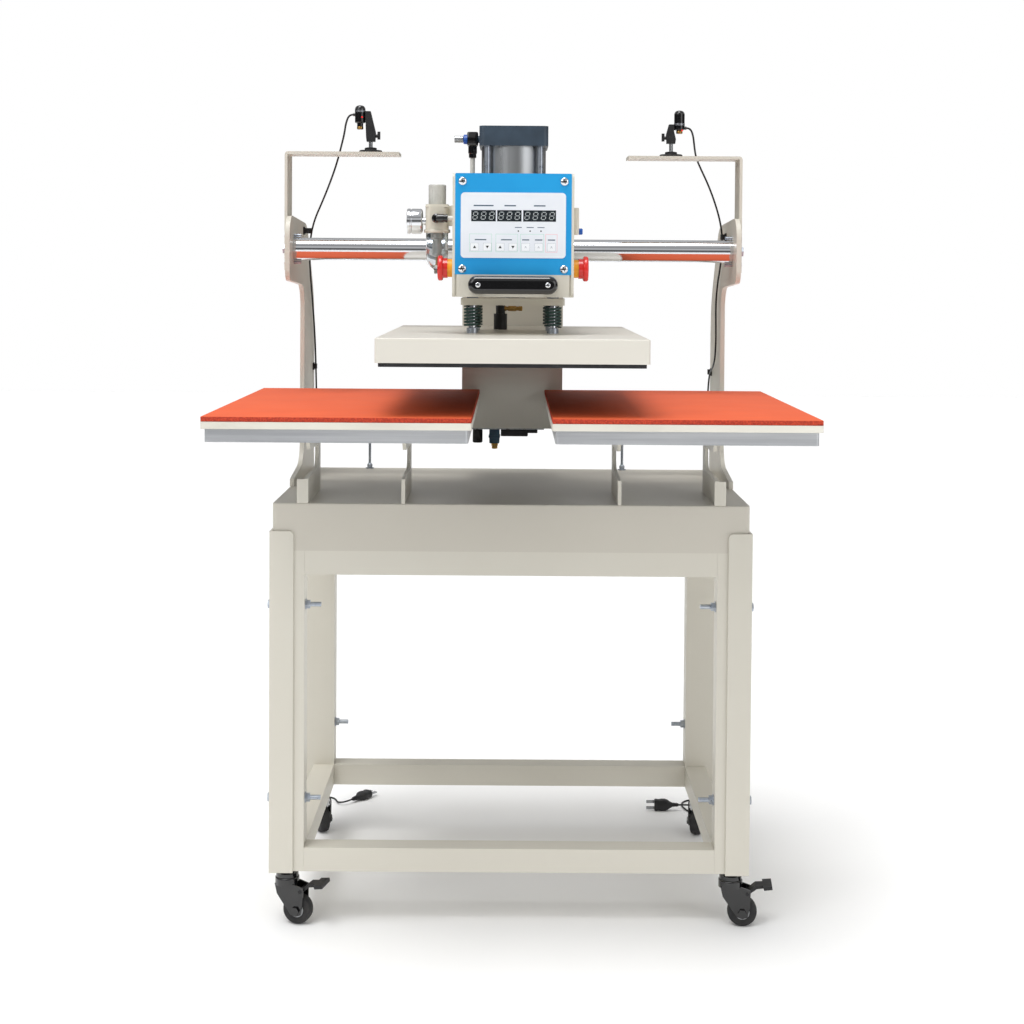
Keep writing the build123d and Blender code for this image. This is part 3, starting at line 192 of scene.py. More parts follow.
clear = material("clear_bowl", srgb(236, 240, 242), 0.05, alpha=1.45, tint=(30, srgb(220, 226, 230), 0.4))
heater_dark = material("heater_plate", srgb(60, 60, 62), 0.5, 0.6, tint=(40, srgb(40, 40, 42), 0.7),
                       grain=(500, 0.03))
tyre = material("tyre", srgb(34, 34, 36), 0.7, grain=(700, 0.1), tint=(60, srgb(52, 50, 48), 0.6),
                rough_vary=0.1)
hub_grey = material("hub_grey", srgb(196, 198, 200), 0.45, tint=(50, srgb(168, 170, 172), 0.6), grain=(500, 0.03))
laser_metal = material("laser_metal", srgb(150, 152, 156), 0.34, 1.0, tint=(200, srgb(112, 114, 118), 0.7),
                       rough_vary=0.1)
cord_black = material("cord_black", srgb(28, 28, 30), 0.42, grain=(900, 0.03), tint=(80, srgb(14, 14, 16), 0.6))
lamp_red = material("lamp_red", srgb(200, 20, 20), 0.2, glow=(srgb(255, 30, 20), 0.6))
dial_white = material("dial_white", srgb(242, 242, 238), 0.5, tint=(60, srgb(230, 230, 224), 0.5))

NODE_MATERIALS = {
    powder: "leg_angles stand_frame uprights platen_brackets carriage_housing control_box laser_brackets "
            "pressure_plate",
    table_coat: "table_top",
    cover_coat: "platen_cover",
    panel_blue: "control_panel",
    slate: "cylinder_caps",
    barrel: "cylinder_barrel",
    rail_alu: "platen_frames",
    plate_cream: "platen_plates",
    chrome: "guide_bars piston_rod",
    zinc: "stand_fasteners bar_bolts tie_rods spring_bolts",
    steel: "carriage_bearings laser_bases flow_needle",
    pad_top: "platen_pads",
    stop_red: "estop_left estop_right",
    stop_yellow: "estop_bases",
    gloss_black: "front_handle laser_head_left laser_head_right caster_stems caster_fork_front_left "
                 "caster_fork_front_right caster_fork_rear_left caster_fork_rear_right",
    film: "keypad",
    ivory_plastic: "filter_body",
    knob_grey: "regulator_knob",
    matte_black: "heater_gland cord_clips brake_pedal_front_left brake_pedal_front_right "
                 "laser_arm_left laser_arm_right",
    heater_dark: "heating_plate",
}
for coating, names in NODE_MATERIALS.items():
    for node_name in names.split():
        target = nodes[node_name]
        target.data.materials.clear()
        target.data.materials.append(coating)


# ------------------------------------------------------------------ mesh helpers (millimetres in)
def add_piece(name, mesh, coatings, body, replaces=(), slot=None, smooth=True):
    piece = bpy.data.objects.new(name, mesh)
    bpy.context.collection.objects.link(piece)
    for coating in coatings if isinstance(coatings, (list, tuple)) else [coatings]:
        mesh.materials.append(coating)
    for polygon in mesh.polygons:
        polygon.use_smooth = smooth
    if body:
        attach(piece, body)
    if replaces:
        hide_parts(*replaces)
    return piece


def finish_mesh(bm, name, sharp=35):
    bmesh.ops.recalc_face_normals(bm, faces=bm.faces)
    for edge in bm.edges:
        if len(edge.link_faces) == 2 and edge.calc_face_angle() > math.radians(sharp):
            edge.smooth = False
    mesh = bpy.data.meshes.new(name)
    bm.to_mesh(mesh)
    bm.free()
    return mesh


def turn_to(axis):
    return Vector((0, 0, 1)).rotation_difference(Vector(axis).normalized()).to_matrix().to_4x4()


def add_lathe(bm, profile, centre, axis=(0, 0, 1), steps=40, slot_index=0, ribs=0, rib_depth=0.0, rib_from=0.0):
    """profile: (radius, height along the axis) pairs; ribs press shallow flutes into radii above rib_from."""
    place = Matrix.Translation(Vector(centre) * MM) @ turn_to(axis)
    rings = []
    for radius, height in profile:
        ring = []
        for k in range(steps):
            angle = 2 * math.pi * k / steps
            r = radius
            if ribs and radius > rib_from:
                r -= rib_depth * (0.5 + 0.5 * math.cos(ribs * angle))
            ring.append(bm.verts.new(place @ Vector((r * MM * math.cos(angle), r * MM * math.sin(angle),
                                                     height * MM))))
        rings.append(ring)
    made = []
    for low, high in zip(rings[:-1], rings[1:]):
        for k in range(steps):
            n = (k + 1) % steps
            made.append(bm.faces.new((low[k], low[n], high[n], high[k])))
    made.append(bm.faces.new(rings[0]))
    made.append(bm.faces.new(rings[-1]))
    for face in made:
        face.material_index = slot_index
    return made


def add_block(bm, x, y, z, round_by=0.6, place=None, slot_index=0, segments=2):
    """A block with rounded edges between two corners, in millimetres."""
    made = bmesh.ops.create_cube(bm, size=1)
    size = Vector((abs(x[1] - x[0]), abs(y[1] - y[0]), abs(z[1] - z[0])))
    centre = Vector(((x[0] + x[1]) / 2, (y[0] + y[1]) / 2, (z[0] + z[1]) / 2))
    for vert in made["verts"]:
        vert.co = Vector([vert.co[i] * size[i] + centre[i] for i in range(3)]) * MM
        if place:
            vert.co = place @ vert.co
    edges = list({edge for vert in made["verts"] for edge in vert.link_edges})
    faces = {face for vert in made["verts"] for face in vert.link_faces}
    for face in faces:
        face.material_index = slot_index
    if round_by:
        bmesh.ops.bevel(bm, geom=edges, offset=round_by * MM, segments=segments, affect="EDGES",
                        profile=0.5, material=slot_index)


def add_flat(bm, outline, y, slot_index=0, thick=0.12):
    """A thin printed shape on the panel's front: outline is (x, z) pairs, y its back plane."""
    front = [bm.verts.new((px * MM, (y - thick) * MM, pz * MM)) for px, pz in outline]
    back = [bm.verts.new((px * MM, y * MM, pz * MM)) for px, pz in outline]
    faces = [bm.faces.new(front)]
    for k in range(len(outline)):
        n = (k + 1) % len(outline)
        faces.append(bm.faces.new((front[k], front[n], back[n], back[k])))
    for face in faces:
        face.material_index = slot_index


def rectangle(x, z):
    return ((x[0], z[0]), (x[1], z[0]), (x[1], z[1]), (x[0], z[1]))


def add_outline(bm, x, z, width, y, slot_index):
    add_flat(bm, rectangle((x[0], x[1]), (z[0], z[0] + width)), y, slot_index)
    add_flat(bm, rectangle((x[0], x[1]), (z[1] - width, z[1])), y, slot_index)
    add_flat(bm, rectangle((x[0], x[0] + width), (z[0] + width, z[1] - width)), y, slot_index)
    add_flat(bm, rectangle((x[1] - width, x[1]), (z[0] + width, z[1] - width)), y, slot_index)


# ------------------------------------------------------------------ free leads of the two lasers
FLOOR_CORD = 1.8
LEAD_ROUTES = {
    "left": (
        (-287, 108, 1384), (-294, 108, 1384), (-300, 109, 1370), (-304, 119, 1350), (-310.5, 133, 1331),
        (-317, 146, 1311), (-329, 164, 1280), (-350, 196, 1237), (-372, 227, 1197), (-382, 250, 1158),
        (-386, 285, 1112), (-387, 322, 1066), (-387, 355, 1016), (-387, 380, 962), (-387, 394, 905),
        (-387, 404, 848), (-387, 411, 790), (-387, 416.5, 731), (-387, 421, 672), (-387.5, 424, 613),
        (-388, 426, 554), (-388.5, 427.2, 495), (-389, 428, 436), (-389.5, 428.2, 377), (-390, 428, 318),
        (-390.5, 427.5, 260), (-391, 426.5, 203), (-392, 426, 148), (-393, 428, 97), (-395, 434, 56),
        (-397, 446, 25), (-400, 467, 7), (-404, 493, FLOOR_CORD), (-406, 520, FLOOR_CORD),
        (-401, 548, FLOOR_CORD), (-387, 567, FLOOR_CORD), (-370, 566, FLOOR_CORD), (-361, 550, FLOOR_CORD),
        (-357, 532, 3.2), (-347, 521, 6.4), (-335, 525, 8), (-326, 537, 8),
    ),
    "right": (
        (308, 108, 1364), (315, 108, 1364), (320.5, 109, 1351), (324, 122, 1333), (330, 146, 1314),
        (340, 153, 1294), (354, 162, 1268), (368, 172, 1236), (380, 183, 1201), (385.5, 191, 1170),
        (386.5, 206, 1141), (387, 233, 1114), (386.5, 264, 1086), (386, 282, 1048), (386, 277, 1008),
        (386.5, 278, 970), (387, 298, 938), (387, 334, 921), (387, 368, 913), (387, 393, 887),
        (387, 403, 842), (387, 410.5, 786), (387, 416.5, 728), (387, 421, 669), (387.5, 424.5, 610),
        (388, 426.5, 551), (388.5, 427.7, 492), (389, 428.2, 433), (389.5, 428.3, 374), (390, 428, 315),
        (390.5, 427, 256), (391, 425.5, 197), (391, 425, 139), (390, 427, 88), (388, 433, 48),
        (384, 446, 19), (378, 466, 4), (371, 488, FLOOR_CORD), (362, 509, FLOOR_CORD), (357, 532, FLOOR_CORD),
        (363, 554, FLOOR_CORD), (379, 566, FLOOR_CORD), (396, 557, FLOOR_CORD), (402, 538, FLOOR_CORD),
        (397, 519, 4.4), (384, 508, 9.4), (366, 503, 12.2), (348, 503, 12.2),
    ),
}


def nurbs_curve(name, points, radius):
    curve = bpy.data.curves.new(name, "CURVE")
    curve.dimensions = "3D"
    spline = curve.splines.new("NURBS")
    spline.points.add(len(points) - 1)
    for point, place in zip(spline.points, points):
        point.co = (place[0] * MM, place[1] * MM, place[2] * MM, 1)
    spline.order_u = 3
    spline.use_endpoint_u = True
    curve.resolution_u = 8
    curve.bevel_depth = radius * MM
    curve.bevel_resolution = 3
    curve.use_fill_caps = True
    return curve


def curve_mesh(curve):
    holder = bpy.data.objects.new(curve.name + "_holder", curve)
    bpy.context.collection.objects.link(holder)
    bpy.context.view_layer.update()
    mesh = bpy.data.meshes.new_from_object(holder)
    bpy.data.objects.remove(holder)
    return mesh


def curve_points(points):
    """The points along a route's own smooth spline."""
    mesh = curve_mesh(nurbs_curve("route", points, 0))
    return [tuple(vert.co) for vert in mesh.vertices]


def tube_piece(name, points, radius, coating, body, **more):
    mesh = curve_mesh(nurbs_curve(name, points, radius))
    mesh.materials.clear()
    return add_piece(name, mesh, coating, body, **more)


for name, route in LEAD_ROUTES.items():
    side = -1 if name == "left" else 1
    # plug: moulded grip, tapered strain relief with ribs, two flat pins
    tail = Vector(route[-1])
    forward = (tail - Vector(route[-2])).normalized()
    across = Vector((0, 0, 1)) if name == "left" else Vector((0, 1, 0))
    basis = Matrix((across, forward.cross(across), forward)).transposed().to_4x4()
    place = Matrix.Translation(tail * MM) @ basis
    bm = bmesh.new()
    sections = ((3.1, 3.1, 0), (3.4, 3.4, 6), (4.0, 4.0, 12), (5.2, 6.4, 17), (7.0, 10.4, 23), (7.8, 12, 28),
                (7.8, 12, 35), (6.6, 11, 41), (7.6, 11.8, 46), (7.4, 11.4, 49))
    rings = []
    for half_a, half_b, height in sections:
        ring = []
        for k in range(28):
            angle = 2 * math.pi * k / 28
            c, s = math.cos(angle), math.sin(angle)
            power = 0.62 if height > 14 else 1.0
            ring.append(bm.verts.new(place @ (Vector((
                half_a * math.copysign(abs(c) ** power, c),
                half_b * math.copysign(abs(s) ** power, s), height)) * MM)))
        rings.append(ring)
    for low, high in zip(rings[:-1], rings[1:]):
        for k in range(28):
            n = (k + 1) % 28
            bm.faces.new((low[k], low[n], high[n], high[k]))
    bm.faces.new(rings[0])
    bm.faces.new(rings[-1])
    for rib in range(4):
        turned = [(3.0, 0), (4.1 + 0.25 * rib, 0.4), (4.1 + 0.25 * rib, 1.6), (3.0, 2.0)]
        add_lathe(bm, turned, tail + forward * (2.5 + 3.4 * rib), forward, 20)
    for offset in (-6.35, 6.35):
        add_block(bm, (-0.75, 0.75), (offset - 3.15, offset + 3.15), (48, 66), 0.3, place, 1)
    plug = add_piece(f"plug_{name}", finish_mesh(bm, f"plug_{name}"), [cord_black, steel], "stand",
                     [f"laser_plug_{name}"], "cord_black")
    line = curve_points(route)
    cord = tube_piece(f"lead_{name}", route, 1.7, cord_black, None, replaces=[f"laser_cord_{name}"],
                      slot="cord_black")
    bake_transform(cord)


# ------------------------------------------------------------------ die springs
SPRING_PITCH = 65
for index, (sx, sy) in enumerate(((-1, -1), (1, -1), (-1, 1), (1, 1))):
    bm = bmesh.new()
    cx, cy = sx * SPRING_PITCH, -107 + sy * SPRING_PITCH
    turns, steps = 6.6, 30
    total = int(turns * steps)
    section = ((8.6, -1.8), (13.9, -1.8), (14.0, 0), (13.9, 1.8), (8.6, 1.8))
    previous = None
    for k in range(total + 1):
        angle = 2 * math.pi * k / steps
        t = k / total
        ease = min(1, t * turns / 0.9, (1 - t) * turns / 0.9)
        height = 1015.7 + (1051 - 1015.7 - 1.7) * t
        thin = 0.55 + 0.45 * ease
        ring = [bm.verts.new(((cx + r * math.cos(angle)) * MM, (cy + r * math.sin(angle)) * MM,
                              (height + dz * thin) * MM)) for r, dz in section]
        if previous:
            for a in range(len(ring)):
                b = (a + 1) % len(ring)
                bm.faces.new((previous[a], previous[b], ring[b], ring[a]))
        else:
            bm.faces.new(ring)
        previous = ring
    bm.faces.new(previous)
    add_lathe(bm, ((5.6, 1014.4), (6.5, 1015), (6.5, 1050), (5.6, 1050.8)), (cx, cy, 0), steps=28, slot_index=1)
    spring = add_piece(f"spring_{index}", finish_mesh(bm, f"spring_{index}"), [spring_green, chrome], "ram",
                       ["pressure_springs"], "spring_green")
    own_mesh(spring)


# ------------------------------------------------------------------ keypad graphics
FILM_Y = -258.8
SEGMENTS = (
    ((-0.5, 1.0), (0.5, 1.0)), ((0.5, 1.0), (0.5, 0)), ((0.5, 0), (0.5, -1.0)), ((-0.5, -1.0), (0.5, -1.0)),
    ((-0.5, -1.0), (-0.5, 0)), ((-0.5, 0), (-0.5, 1.0)), ((-0.5, 0), (0.5, 0)),
)
bm = bmesh.new()
WINDOWS = (((-65.7, -27.4), 3), ((-25.2, 12.7), 3), ((15.4, 66.5), 4))
for (left, right), count in WINDOWS:
    add_flat(bm, rectangle((left, right), (1183.1, 1200.6)), FILM_Y, 0, 0.25)
    for digit in range(count):
        middle = left + (right - left) * (digit + 0.5) / count
        for (x0, z0), (x1, z1) in SEGMENTS:
            lean = 0.9
            ax, az = middle + x0 * 6.6 + z0 * lean, 1191.9 + z0 * 5.6
            bx, bz = middle + x1 * 6.6 + z1 * lean, 1191.9 + z1 * 5.6
            along = Vector((bx - ax, bz - az)).normalized()
            side = Vector((-along.y, along.x)) * 0.62
            ax, az, bx, bz = ax + along.x * 0.9, az + along.y * 0.9, bx - along.x * 0.9, bz - along.y * 0.9
            add_flat(bm, ((ax + side.x, az + side.y), (ax - side.x, az - side.y), (bx - side.x, bz - side.y),
                          (bx + side.x, bz + side.y)), FILM_Y - 0.25, 1, 0.1)
for x in (7.9, 26.3, 43.2):
    ring = [(x + 1.2 * math.cos(a * math.pi / 8), 1168.2 + 1.2 * math.sin(a * math.pi / 8)) for a in range(16)]
    add_flat(bm, ring, FILM_Y, 2)
    add_flat(bm, rectangle((x - 5.5, x + 5.5), (1173.2, 1174.4)), FILM_Y, 3, 0.08)
for x0, x1 in ((-62, -31), (-14, 4), (32, 50)):
    add_flat(bm, rectangle((x0, x1), (1206.6, 1208.6)), FILM_Y, 3, 0.08)
for x0, x1, ink in ((-68.3, -33.3, 4), (-27.4, 7.3, 4), (11.0, 47.9, 4), (50.4, 68.7, 5)):
    add_outline(bm, (x0, x1), (1135.4, 1163.6), 0.5, FILM_Y, ink)
for x, arrow in ((-60.2, 1), (-40.4, -1), (-20.4, 1), (-0.4, -1), (19.4, 0), (39.8, 0), (59.6, 0)):
    add_flat(bm, rectangle((x - 6.2, x + 6.2), (1137.2, 1149.0)), FILM_Y, 6, 0.15)
    add_outline(bm, (x - 6.4, x + 6.4), (1137.0, 1149.2), 0.45, FILM_Y, 3)
    if arrow:
        add_flat(bm, ((x - 2.6, 1143.1 - 1.9 * arrow), (x + 2.6, 1143.1 - 1.9 * arrow), (x, 1143.1 + 2.4 * arrow)),
                 FILM_Y - 0.15, 2, 0.08)
    else:
        add_flat(bm, ((x - 1.6, 1141.4), (x - 1.1, 1141.4), (x, 1144.0), (x + 1.1, 1141.4), (x + 1.6, 1141.4),
                      (x, 1144.9)), FILM_Y - 0.15, 3, 0.08)
for x0, x1 in ((-60, -42), (-19, -2), (14, 25), (34, 45.5), (54, 65.5)):
    add_flat(bm, rectangle((x0, x1), (1153.6, 1155.4)), FILM_Y, 3, 0.08)
add_outline(bm, (-79.6, 79.6), (1128.6, 1225.4), 0.5, FILM_Y, 6)
add_piece("keypad_print", finish_mesh(bm, "keypad_print"),
          [window_dark, digit_grey, ink_black, ink_blue, ink_green, ink_pink, key_white], "head",
          slot="keypad_film", smooth=False)


# ------------------------------------------------------------------ screws
def add_cross_screw(bm, centre, axis, radius, height):
    profile = [(radius, 0), (radius, height * 0.25)]
    for k in range(1, 7):
        angle = k * math.pi / 2 / 7
        profile.append((radius * math.cos(angle), height * (0.25 + 0.75 * math.sin(angle))))
    add_lathe(bm, profile + [(radius * 0.1, height)], centre, axis, 32)
    place = Matrix.Translation(Vector(centre) * MM) @ turn_to(axis) @ Matrix.Rotation(0.35, 4, "Z")
    for long, short in ((radius * 0.55, radius * 0.11), (radius * 0.11, radius * 0.55)):
        add_block(bm, (-long, long), (-short, short), (height * 0.6, height * 1.02), 0.1, place, 1)


bm = bmesh.new()
for x in (-79.5, 79.5):
    for z in (1109, 1245.5):
        add_cross_screw(bm, (x, -258, z), (0, -1, 0), 6.5, 3.3)
for x in (-54, 54):
    add_cross_screw(bm, (x, -291.9, 1084), (0, -1, 0), 4.1, 1.6)
add_piece("panel_screw_set", finish_mesh(bm, "panel_screw_set"), [chrome, matte_black], "head", ["panel_screws"],
          "zinc")


# ------------------------------------------------------------------ pads
def pad_mesh(name, x_mid):
    bm = bmesh.new()
    add_block(bm, (x_mid - 199.7, x_mid + 199.7), (-406.7, 192.7), (880.6, 888.3), 1.0, segments=3)
    for face in bm.faces:
        face.material_index = 0 if face.normal.z > 0.5 else 1
    return finish_mesh(bm, name, 50)


for name, x_mid in (("left", -259.5), ("right", 259.5)):
    pad = add_piece(f"pad_{name}", pad_mesh(f"pad_{name}", x_mid), [pad_top, pad_edge], "stand", ["platen_pads"],
                    "pad_red")


# ------------------------------------------------------------------ air parts
FX, FY = -122.5, -178
bm = bmesh.new()
add_lathe(bm, ((7.2, 0), (7.2, 3), (6.4, 3.4), (6.4, 8), (7.3, 9), (7.3, 17), (5, 19)), (FX, FY - 18.3, 1189),
          (0, -1, 0), 28)
add_lathe(bm, ((6.6, 0), (6.9, 1), (6.9, 12), (6.2, 12.6), (6.2, 15), (6.9, 15.4), (6.9, 18), (5, 18.4)),
          (FX, FY - 32, 1189), (1, 0, 0), 28)
add_lathe(bm, ((4, 17), (4, 27.4)), (FX, FY - 32, 1189), (1, 0, 0), 20, 1)
add_block(bm, (-77, -59), (-117, -97), (1312, 1335), 2.2)
add_lathe(bm, ((6, 0), (6, 3.4)), (-59.4, -107, 1323), (1, 0, 0), 24, 5)
add_lathe(bm, ((8, 0), (8, 5.2), (7.2, 6)), (-77, -107, 1323), (-1, 0, 0), 28, 2, 16, 0.5, 7.5)
add_lathe(bm, ((7.2, 0), (7.2, 12), (6.2, 13), (6.2, 19), (4.6, 20)), (-68, -107, 1312), (0, 0, -1), 28, 0)
add_block(bm, (95.1, 103.4), (-238, -204), (1164, 1206), 1.6, slot_index=4)
add_lathe(bm, ((5, 0), (5, 5.2), (4.2, 6.4)), (103.4, -221, 1169), (1, 0, 0), 22, 2)
fittings = add_piece("fitting_set", finish_mesh(bm, "fitting_set"),
                     [gloss_black, tube_white, blue_plastic, brass, ivory_plastic, valve_blue], "head", ["air_fittings"],
                     "white_plastic")
tube_piece("air_tube", ((-68, -107, 1293), (-68, -107, 1262), (-68, -106, 1232), (-68, -94, 1206),
                        (-68, -70, 1190), (-68, -54, 1176), (-68, -50, 1163), (-68, -50, 1150.6)), 3.95,
           tube_white, "head", slot="white_plastic")

bm = bmesh.new()
add_lathe(bm, ((0.5, 1100.5), (3.4, 1100.6), (4.6, 1102), (4.6, 1107), (6.4, 1109), (11, 1112.6), (14.6, 1117.5),
               (17.2, 1124.5), (17.8, 1134), (17.8, 1166.2), (16.2, 1166.2), (16.2, 1134), (15.4, 1125.6),
               (12.6, 1119), (9, 1115.2), (0.5, 1113.6)), (FX, FY, 0), steps=48)
add_piece("bowl_clear", finish_mesh(bm, "bowl_clear"), clear, "head", ["filter_bowl"], "clear_bowl")
bm = bmesh.new()
add_lathe(bm, ((3.2, 1128), (9.5, 1129), (9.5, 1132), (7.6, 1133), (7.6, 1156), (10.5, 1158), (10.5, 1166)),
          (FX, FY, 0), steps=36)
add_lathe(bm, ((2.4, 1114.4), (2.4, 1128)), (FX, FY, 0), steps=16, slot_index=1)
add_piece("filter_element", finish_mesh(bm, "filter_element"), [tube_white, brass], "head", slot="white_plastic")
bm = bmesh.new()
for low in (1168.4, 1207.2):
    add_block(bm, (FX - 18.6, FX + 18.6), (FY - 18.6, FY + 18.6), (low, low + 2.4), 0.9)
add_lathe(bm, ((20.6, 1166.6), (21.2, 1167.6), (21.2, 1171), (20.6, 1172)), (FX, FY, 0), steps=40, ribs=20,
          rib_depth=0.6, rib_from=20)
add_piece("filter_trim", finish_mesh(bm, "filter_trim"), ivory_plastic, "head", slot="white_plastic")

# pressure gauge: turned case, white dial with divisions and a pointer on a hub
bm = bmesh.new()
gx = FX - 18.3
add_lathe(bm, ((6, 0), (6, 4.6), (9, 5), (17, 5.2), (19.6, 6.4), (20.3, 8.4), (20.3, 22), (19.2, 23), (19.2, 24.4),
               (20.4, 25), (20.4, 28.6), (19.4, 29.8), (17.9, 29.9), (17.9, 27.2), (0.4, 27.2)),
          (gx, FY, 1185), (-1, 0, 0), 56)
for face in bm.faces:
    if face.calc_center_median().x < (gx - 27) * MM and face.calc_center_median().x > (gx - 27.4) * MM:
        face.material_index = 1
dial = Matrix.Translation(Vector((gx - 27.2, FY, 1185)) * MM) @ turn_to((-1, 0, 0))
for k in range(41):
    angle = math.radians(225 - 270 * k / 40)
    long = 3.2 if k % 4 == 0 else 1.6
    spin = dial @ Matrix.Rotation(angle, 4, "Z")
    add_block(bm, (16.6 - long, 16.6), (-0.22, 0.22), (0, 0.15), 0, spin, 2)
add_block(bm, (-4, 13), (-0.5, 0.5), (0.5, 1.0), 0.1, dial @ Matrix.Rotation(math.radians(120), 4, "Z"), 3)
add_lathe(bm, ((2, 27.6), (2, 28.6), (1.4, 29)), (gx, FY, 1185), (-1, 0, 0), 20, 2)
add_piece("gauge", finish_mesh(bm, "gauge"), [chrome, dial_white, ink_black, stop_red], "head",
          ["pressure_gauge"], "gauge_body")

# valve under the column
VY = 232
bm = bmesh.new()
add_block(bm, (-78, 60), (VY - 18, VY + 68), (812, 815), 0.8, slot_index=0)
add_block(bm, (-42, -23), (VY - 14, VY + 36), (785.4, 812), 1.6, slot_index=1)
add_block(bm, (-43.2, -21.8), (VY - 15, VY + 20), (796, 800), 0.8, slot_index=1)
add_lathe(bm, ((4.6, 785.4), (6.4, 784.6), (6.4, 780.2), (4.2, 779.6), (5.5, 779), (5.5, 775), (3.6, 774.2)),
          (-32, VY, 0), steps=24, slot_index=3)
add_block(bm, (-20.6, 30), (VY - 14, VY + 46), (799, 812), 1.6, slot_index=2)
add_block(bm, (20, 48), (VY - 12, VY + 40), (805, 812), 1.2, slot_index=2)
add_lathe(bm, ((8, 786), (9.5, 787.4), (9.5, 809), (8.6, 812)), (-64, VY, 0), steps=30, slot_index=2, ribs=12,
          rib_depth=0.8, rib_from=9)
add_piece("valve", finish_mesh(bm, "valve"), [steel, valve_blue, matte_black, brass], "head",
          ["solenoid_valve"], "black_plastic")


# ------------------------------------------------------------------ heater lead
bm = bmesh.new()
add_lathe(bm, ((4.4, 0), (4.4, 5), (3.4, 5.4), (3.4, 8), (4.6, 8.4), (4.6, 22), (3.6, 22.4), (3.6, 26), (4.2, 26.4),
               (4.2, 32), (3, 33)), (-16, 2, 1042), (1, 0, 0), 30, 0, 12, 0.4, 4.5)
add_piece("probe_fitting", finish_mesh(bm, "probe_fitting"), brass, "platen", slot="zinc")
lead = tube_piece("heater_lead", ((-21, 2, 1046), (-21, 3, 1058), (-24, 10, 1072), (-34, 18, 1090),
                                  (-40, 20, 1108), (-36, 16, 1124), (-34, 14, 1137.4)), 4.2, cord_black, None,
                  slot="cord_black")
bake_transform(lead)


# ------------------------------------------------------------------ casters
CASTERS = {
    "front_left": (-376, -72, -14), "front_right": (376, -72, -6),
    "rear_left": (-376, 387, -68), "rear_right": (376, 387, -108),
}
for name, (x, y, heading) in CASTERS.items():
    angle = math.radians(heading)
    ahead = Vector((math.cos(angle), math.sin(angle), 0))
    across = Vector((-math.sin(angle), math.cos(angle), 0))
    axle = Vector((x, y, 25)) + ahead * 20
    bm = bmesh.new()
    add_lathe(bm, ((18.6, -9.6), (21.6, -9.7), (23.6, -8.6), (24.6, -6), (25, -2.5), (25, 2.5), (24.6, 6),
                   (23.6, 8.6), (21.6, 9.7), (18.6, 9.6)), axle, across, 56, 0)
    add_lathe(bm, ((7, -9.2), (9.2, -9.9), (16.6, -9.2), (18.7, -9.4), (18.7, 9.4), (16.6, 9.2), (9.2, 9.9),
                   (7, 9.2)), axle, across, 48, 1)
    add_lathe(bm, ((4.3, -10), (7.2, -10), (7.6, -9.4), (7.6, 9.4), (7.2, 10), (4.3, 10)), axle, across, 32, 2)
    add_piece(f"wheel_{name}", finish_mesh(bm, f"wheel_{name}"), [tyre, hub_grey, matte_black],
              f"wheel_{name}", [f"caster_wheel_{name}"], "tyre_black")

# ------------------------------------------------------------------ laser details
for name, side, head_x, tilt_z, nozzle in (("left", -1, -274.5, 1384, 1358), ("right", 1, 295.5, 1364, 1354)):
    bm = bmesh.new()
    add_lathe(bm, ((4.4, nozzle - 0.0), (5.5, nozzle + 0.2), (5.7, nozzle + 1), (5.7, nozzle + 4), (5.5, nozzle + 4.6)),
              (head_x, 108, 0), steps=32, slot_index=0)
    add_lathe(bm, ((1.4, nozzle - 0.1), (2.4, nozzle + 0.1)), (head_x, 108, 0), steps=20, slot_index=1)
    add_lathe(bm, ((9.55, tilt_z + 4), (9.6, tilt_z + 4.6), (9.6, tilt_z + 7.4), (9.55, tilt_z + 8)), (head_x, 108, 0),
              steps=40, slot_index=2)
    add_lathe(bm, ((1.6, 0), (1.6, 0.5), (1.0, 0.8)), (head_x + 4, 108 - 8.25, tilt_z - 5), (0.43, -0.9, 0), 18, 1)
    add_piece(f"lens_{name}", finish_mesh(bm, f"lens_{name}"), [brass, lamp_red, laser_metal], f"laser_{name}",
              slot="laser_black")


for name, post_x, arm_top, post_top in (("left", -255.5, 1316, 1349), ("right", 281, 1312, 1349)):
    bm = bmesh.new()
    add_lathe(bm, ((19.6, 0), (20.4, 0.6), (20.4, 3.6), (19.4, 4.5)), (post_x, 108, arm_top), steps=48, slot_index=0)
    add_lathe(bm, ((10.8, 4.5), (10.8, 8.6), (8.8, 9.5)), (post_x, 108, arm_top), steps=6, slot_index=0)
    add_lathe(bm, ((3.45, arm_top + 9.4), (3.45, post_top - 0.5), (2.9, post_top)), (post_x, 108, 0), steps=28,
              slot_index=1)
    add_piece(f"base_{name}", finish_mesh(bm, f"base_{name}"), [matte_black, steel], "stand", ["laser_bases"],
              "laser_alu")


# ------------------------------------------------------------------ studio
def area_light(name, place, aim, size, power, colour=(1, 1, 1)):
    data = bpy.data.lights.new(name, "AREA")
    data.shape = "RECTANGLE"
    data.size, data.size_y = size
    data.energy = power
    data.color = colour
    lamp = bpy.data.objects.new(name, data)
    bpy.context.collection.objects.link(lamp)
    lamp.location = place
    lamp.rotation_euler = (Vector(aim) - Vector(place)).to_track_quat("-Z", "Y").to_euler()


area_light("key", (-2.2, -2.6, 3.0), (0, 0, 0.9), (2.2, 2.2), 32)
area_light("fill", (2.6, -2.4, 1.9), (0, 0, 0.8), (2.0, 2.4), 20)
sky = bpy.data.lights.new("sky", "SUN")
sky.energy = 2.1
sky.angle = 0.6
sky_lamp = bpy.data.objects.new("sky", sky)
bpy.context.collection.objects.link(sky_lamp)
sky_lamp.rotation_euler = (0.25, -0.15, 0)

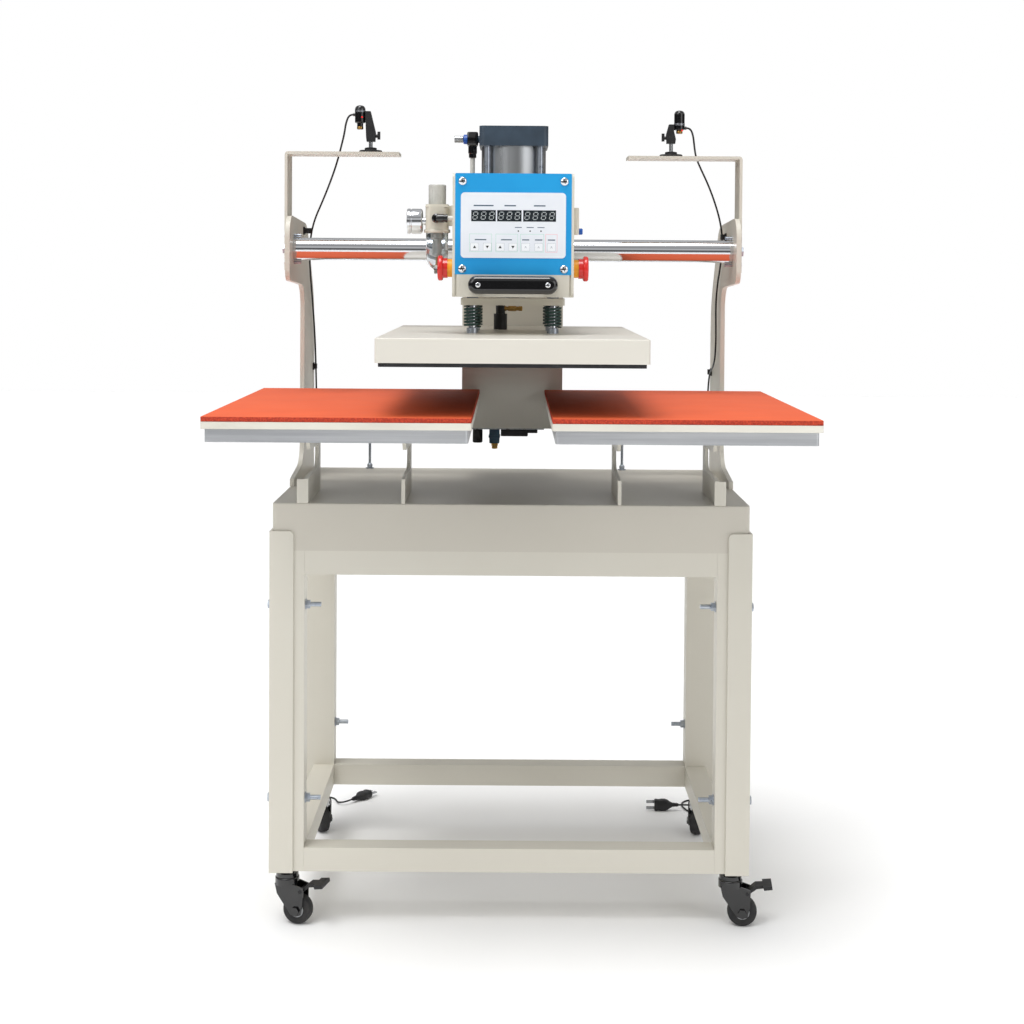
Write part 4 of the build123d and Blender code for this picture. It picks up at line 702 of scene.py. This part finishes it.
world = bpy.data.worlds.new("studio")
bpy.context.scene.world = world
world.use_nodes = True
tree = world.node_tree
background = tree.nodes["Background"]
background.inputs["Color"].default_value = (1, 1, 1, 1)
background.inputs["Strength"].default_value = 1.0
# a room with a dark band at the horizon for reflections, plain white behind the object
room = tree.nodes.new("ShaderNodeBackground")
room.inputs["Strength"].default_value = 0.62
direction = tree.nodes.new("ShaderNodeTexCoord")
split = tree.nodes.new("ShaderNodeSeparateXYZ")
tree.links.new(direction.outputs["Generated"], split.inputs["Vector"])
height = tree.nodes.new("ShaderNodeMapRange")
height.inputs["From Min"].default_value = -1
height.inputs["From Max"].default_value = 1
tree.links.new(split.outputs["Z"], height.inputs["Value"])
ramp = tree.nodes.new("ShaderNodeValToRGB")
ramp.color_ramp.elements[0].position = 0.0
ramp.color_ramp.elements[0].color = (0.55, 0.55, 0.55, 1)
ramp.color_ramp.elements[1].position = 1.0
ramp.color_ramp.elements[1].color = (1, 1, 1, 1)
for at, level in ((0.46, 0.5), (0.5, 0.12), (0.56, 0.12), (0.6, 0.9), (0.7, 1.0), (0.78, 0.4), (0.86, 0.9)):
    element = ramp.color_ramp.elements.new(at)
    element.color = (level, level, level, 1)
tree.links.new(height.outputs["Result"], ramp.inputs["Fac"])
tree.links.new(ramp.outputs["Color"], room.inputs["Color"])
path = tree.nodes.new("ShaderNodeLightPath")
choice = tree.nodes.new("ShaderNodeMixShader")
tree.links.new(path.outputs["Is Camera Ray"], choice.inputs["Fac"])
tree.links.new(room.outputs["Background"], choice.inputs[1])
tree.links.new(background.outputs["Background"], choice.inputs[2])
tree.links.new(choice.outputs["Shader"], tree.nodes["World Output"].inputs["Surface"])

floor_coat = material("floor", srgb(254, 254, 254), 0.6, tint=(1, srgb(247, 247, 246), 0.5))
floor_mesh = bpy.data.meshes.new("floor")
floor_mesh.from_pydata([(-9, -6, 0), (9, -6, 0), (9, 12, 0), (-9, 12, 0)], [], [(0, 1, 2, 3)])
floor_mesh.materials.append(floor_coat)
floor = bpy.data.objects.new("floor", floor_mesh)
bpy.context.collection.objects.link(floor)
bpy.context.scene.view_settings.view_transform = "Standard"
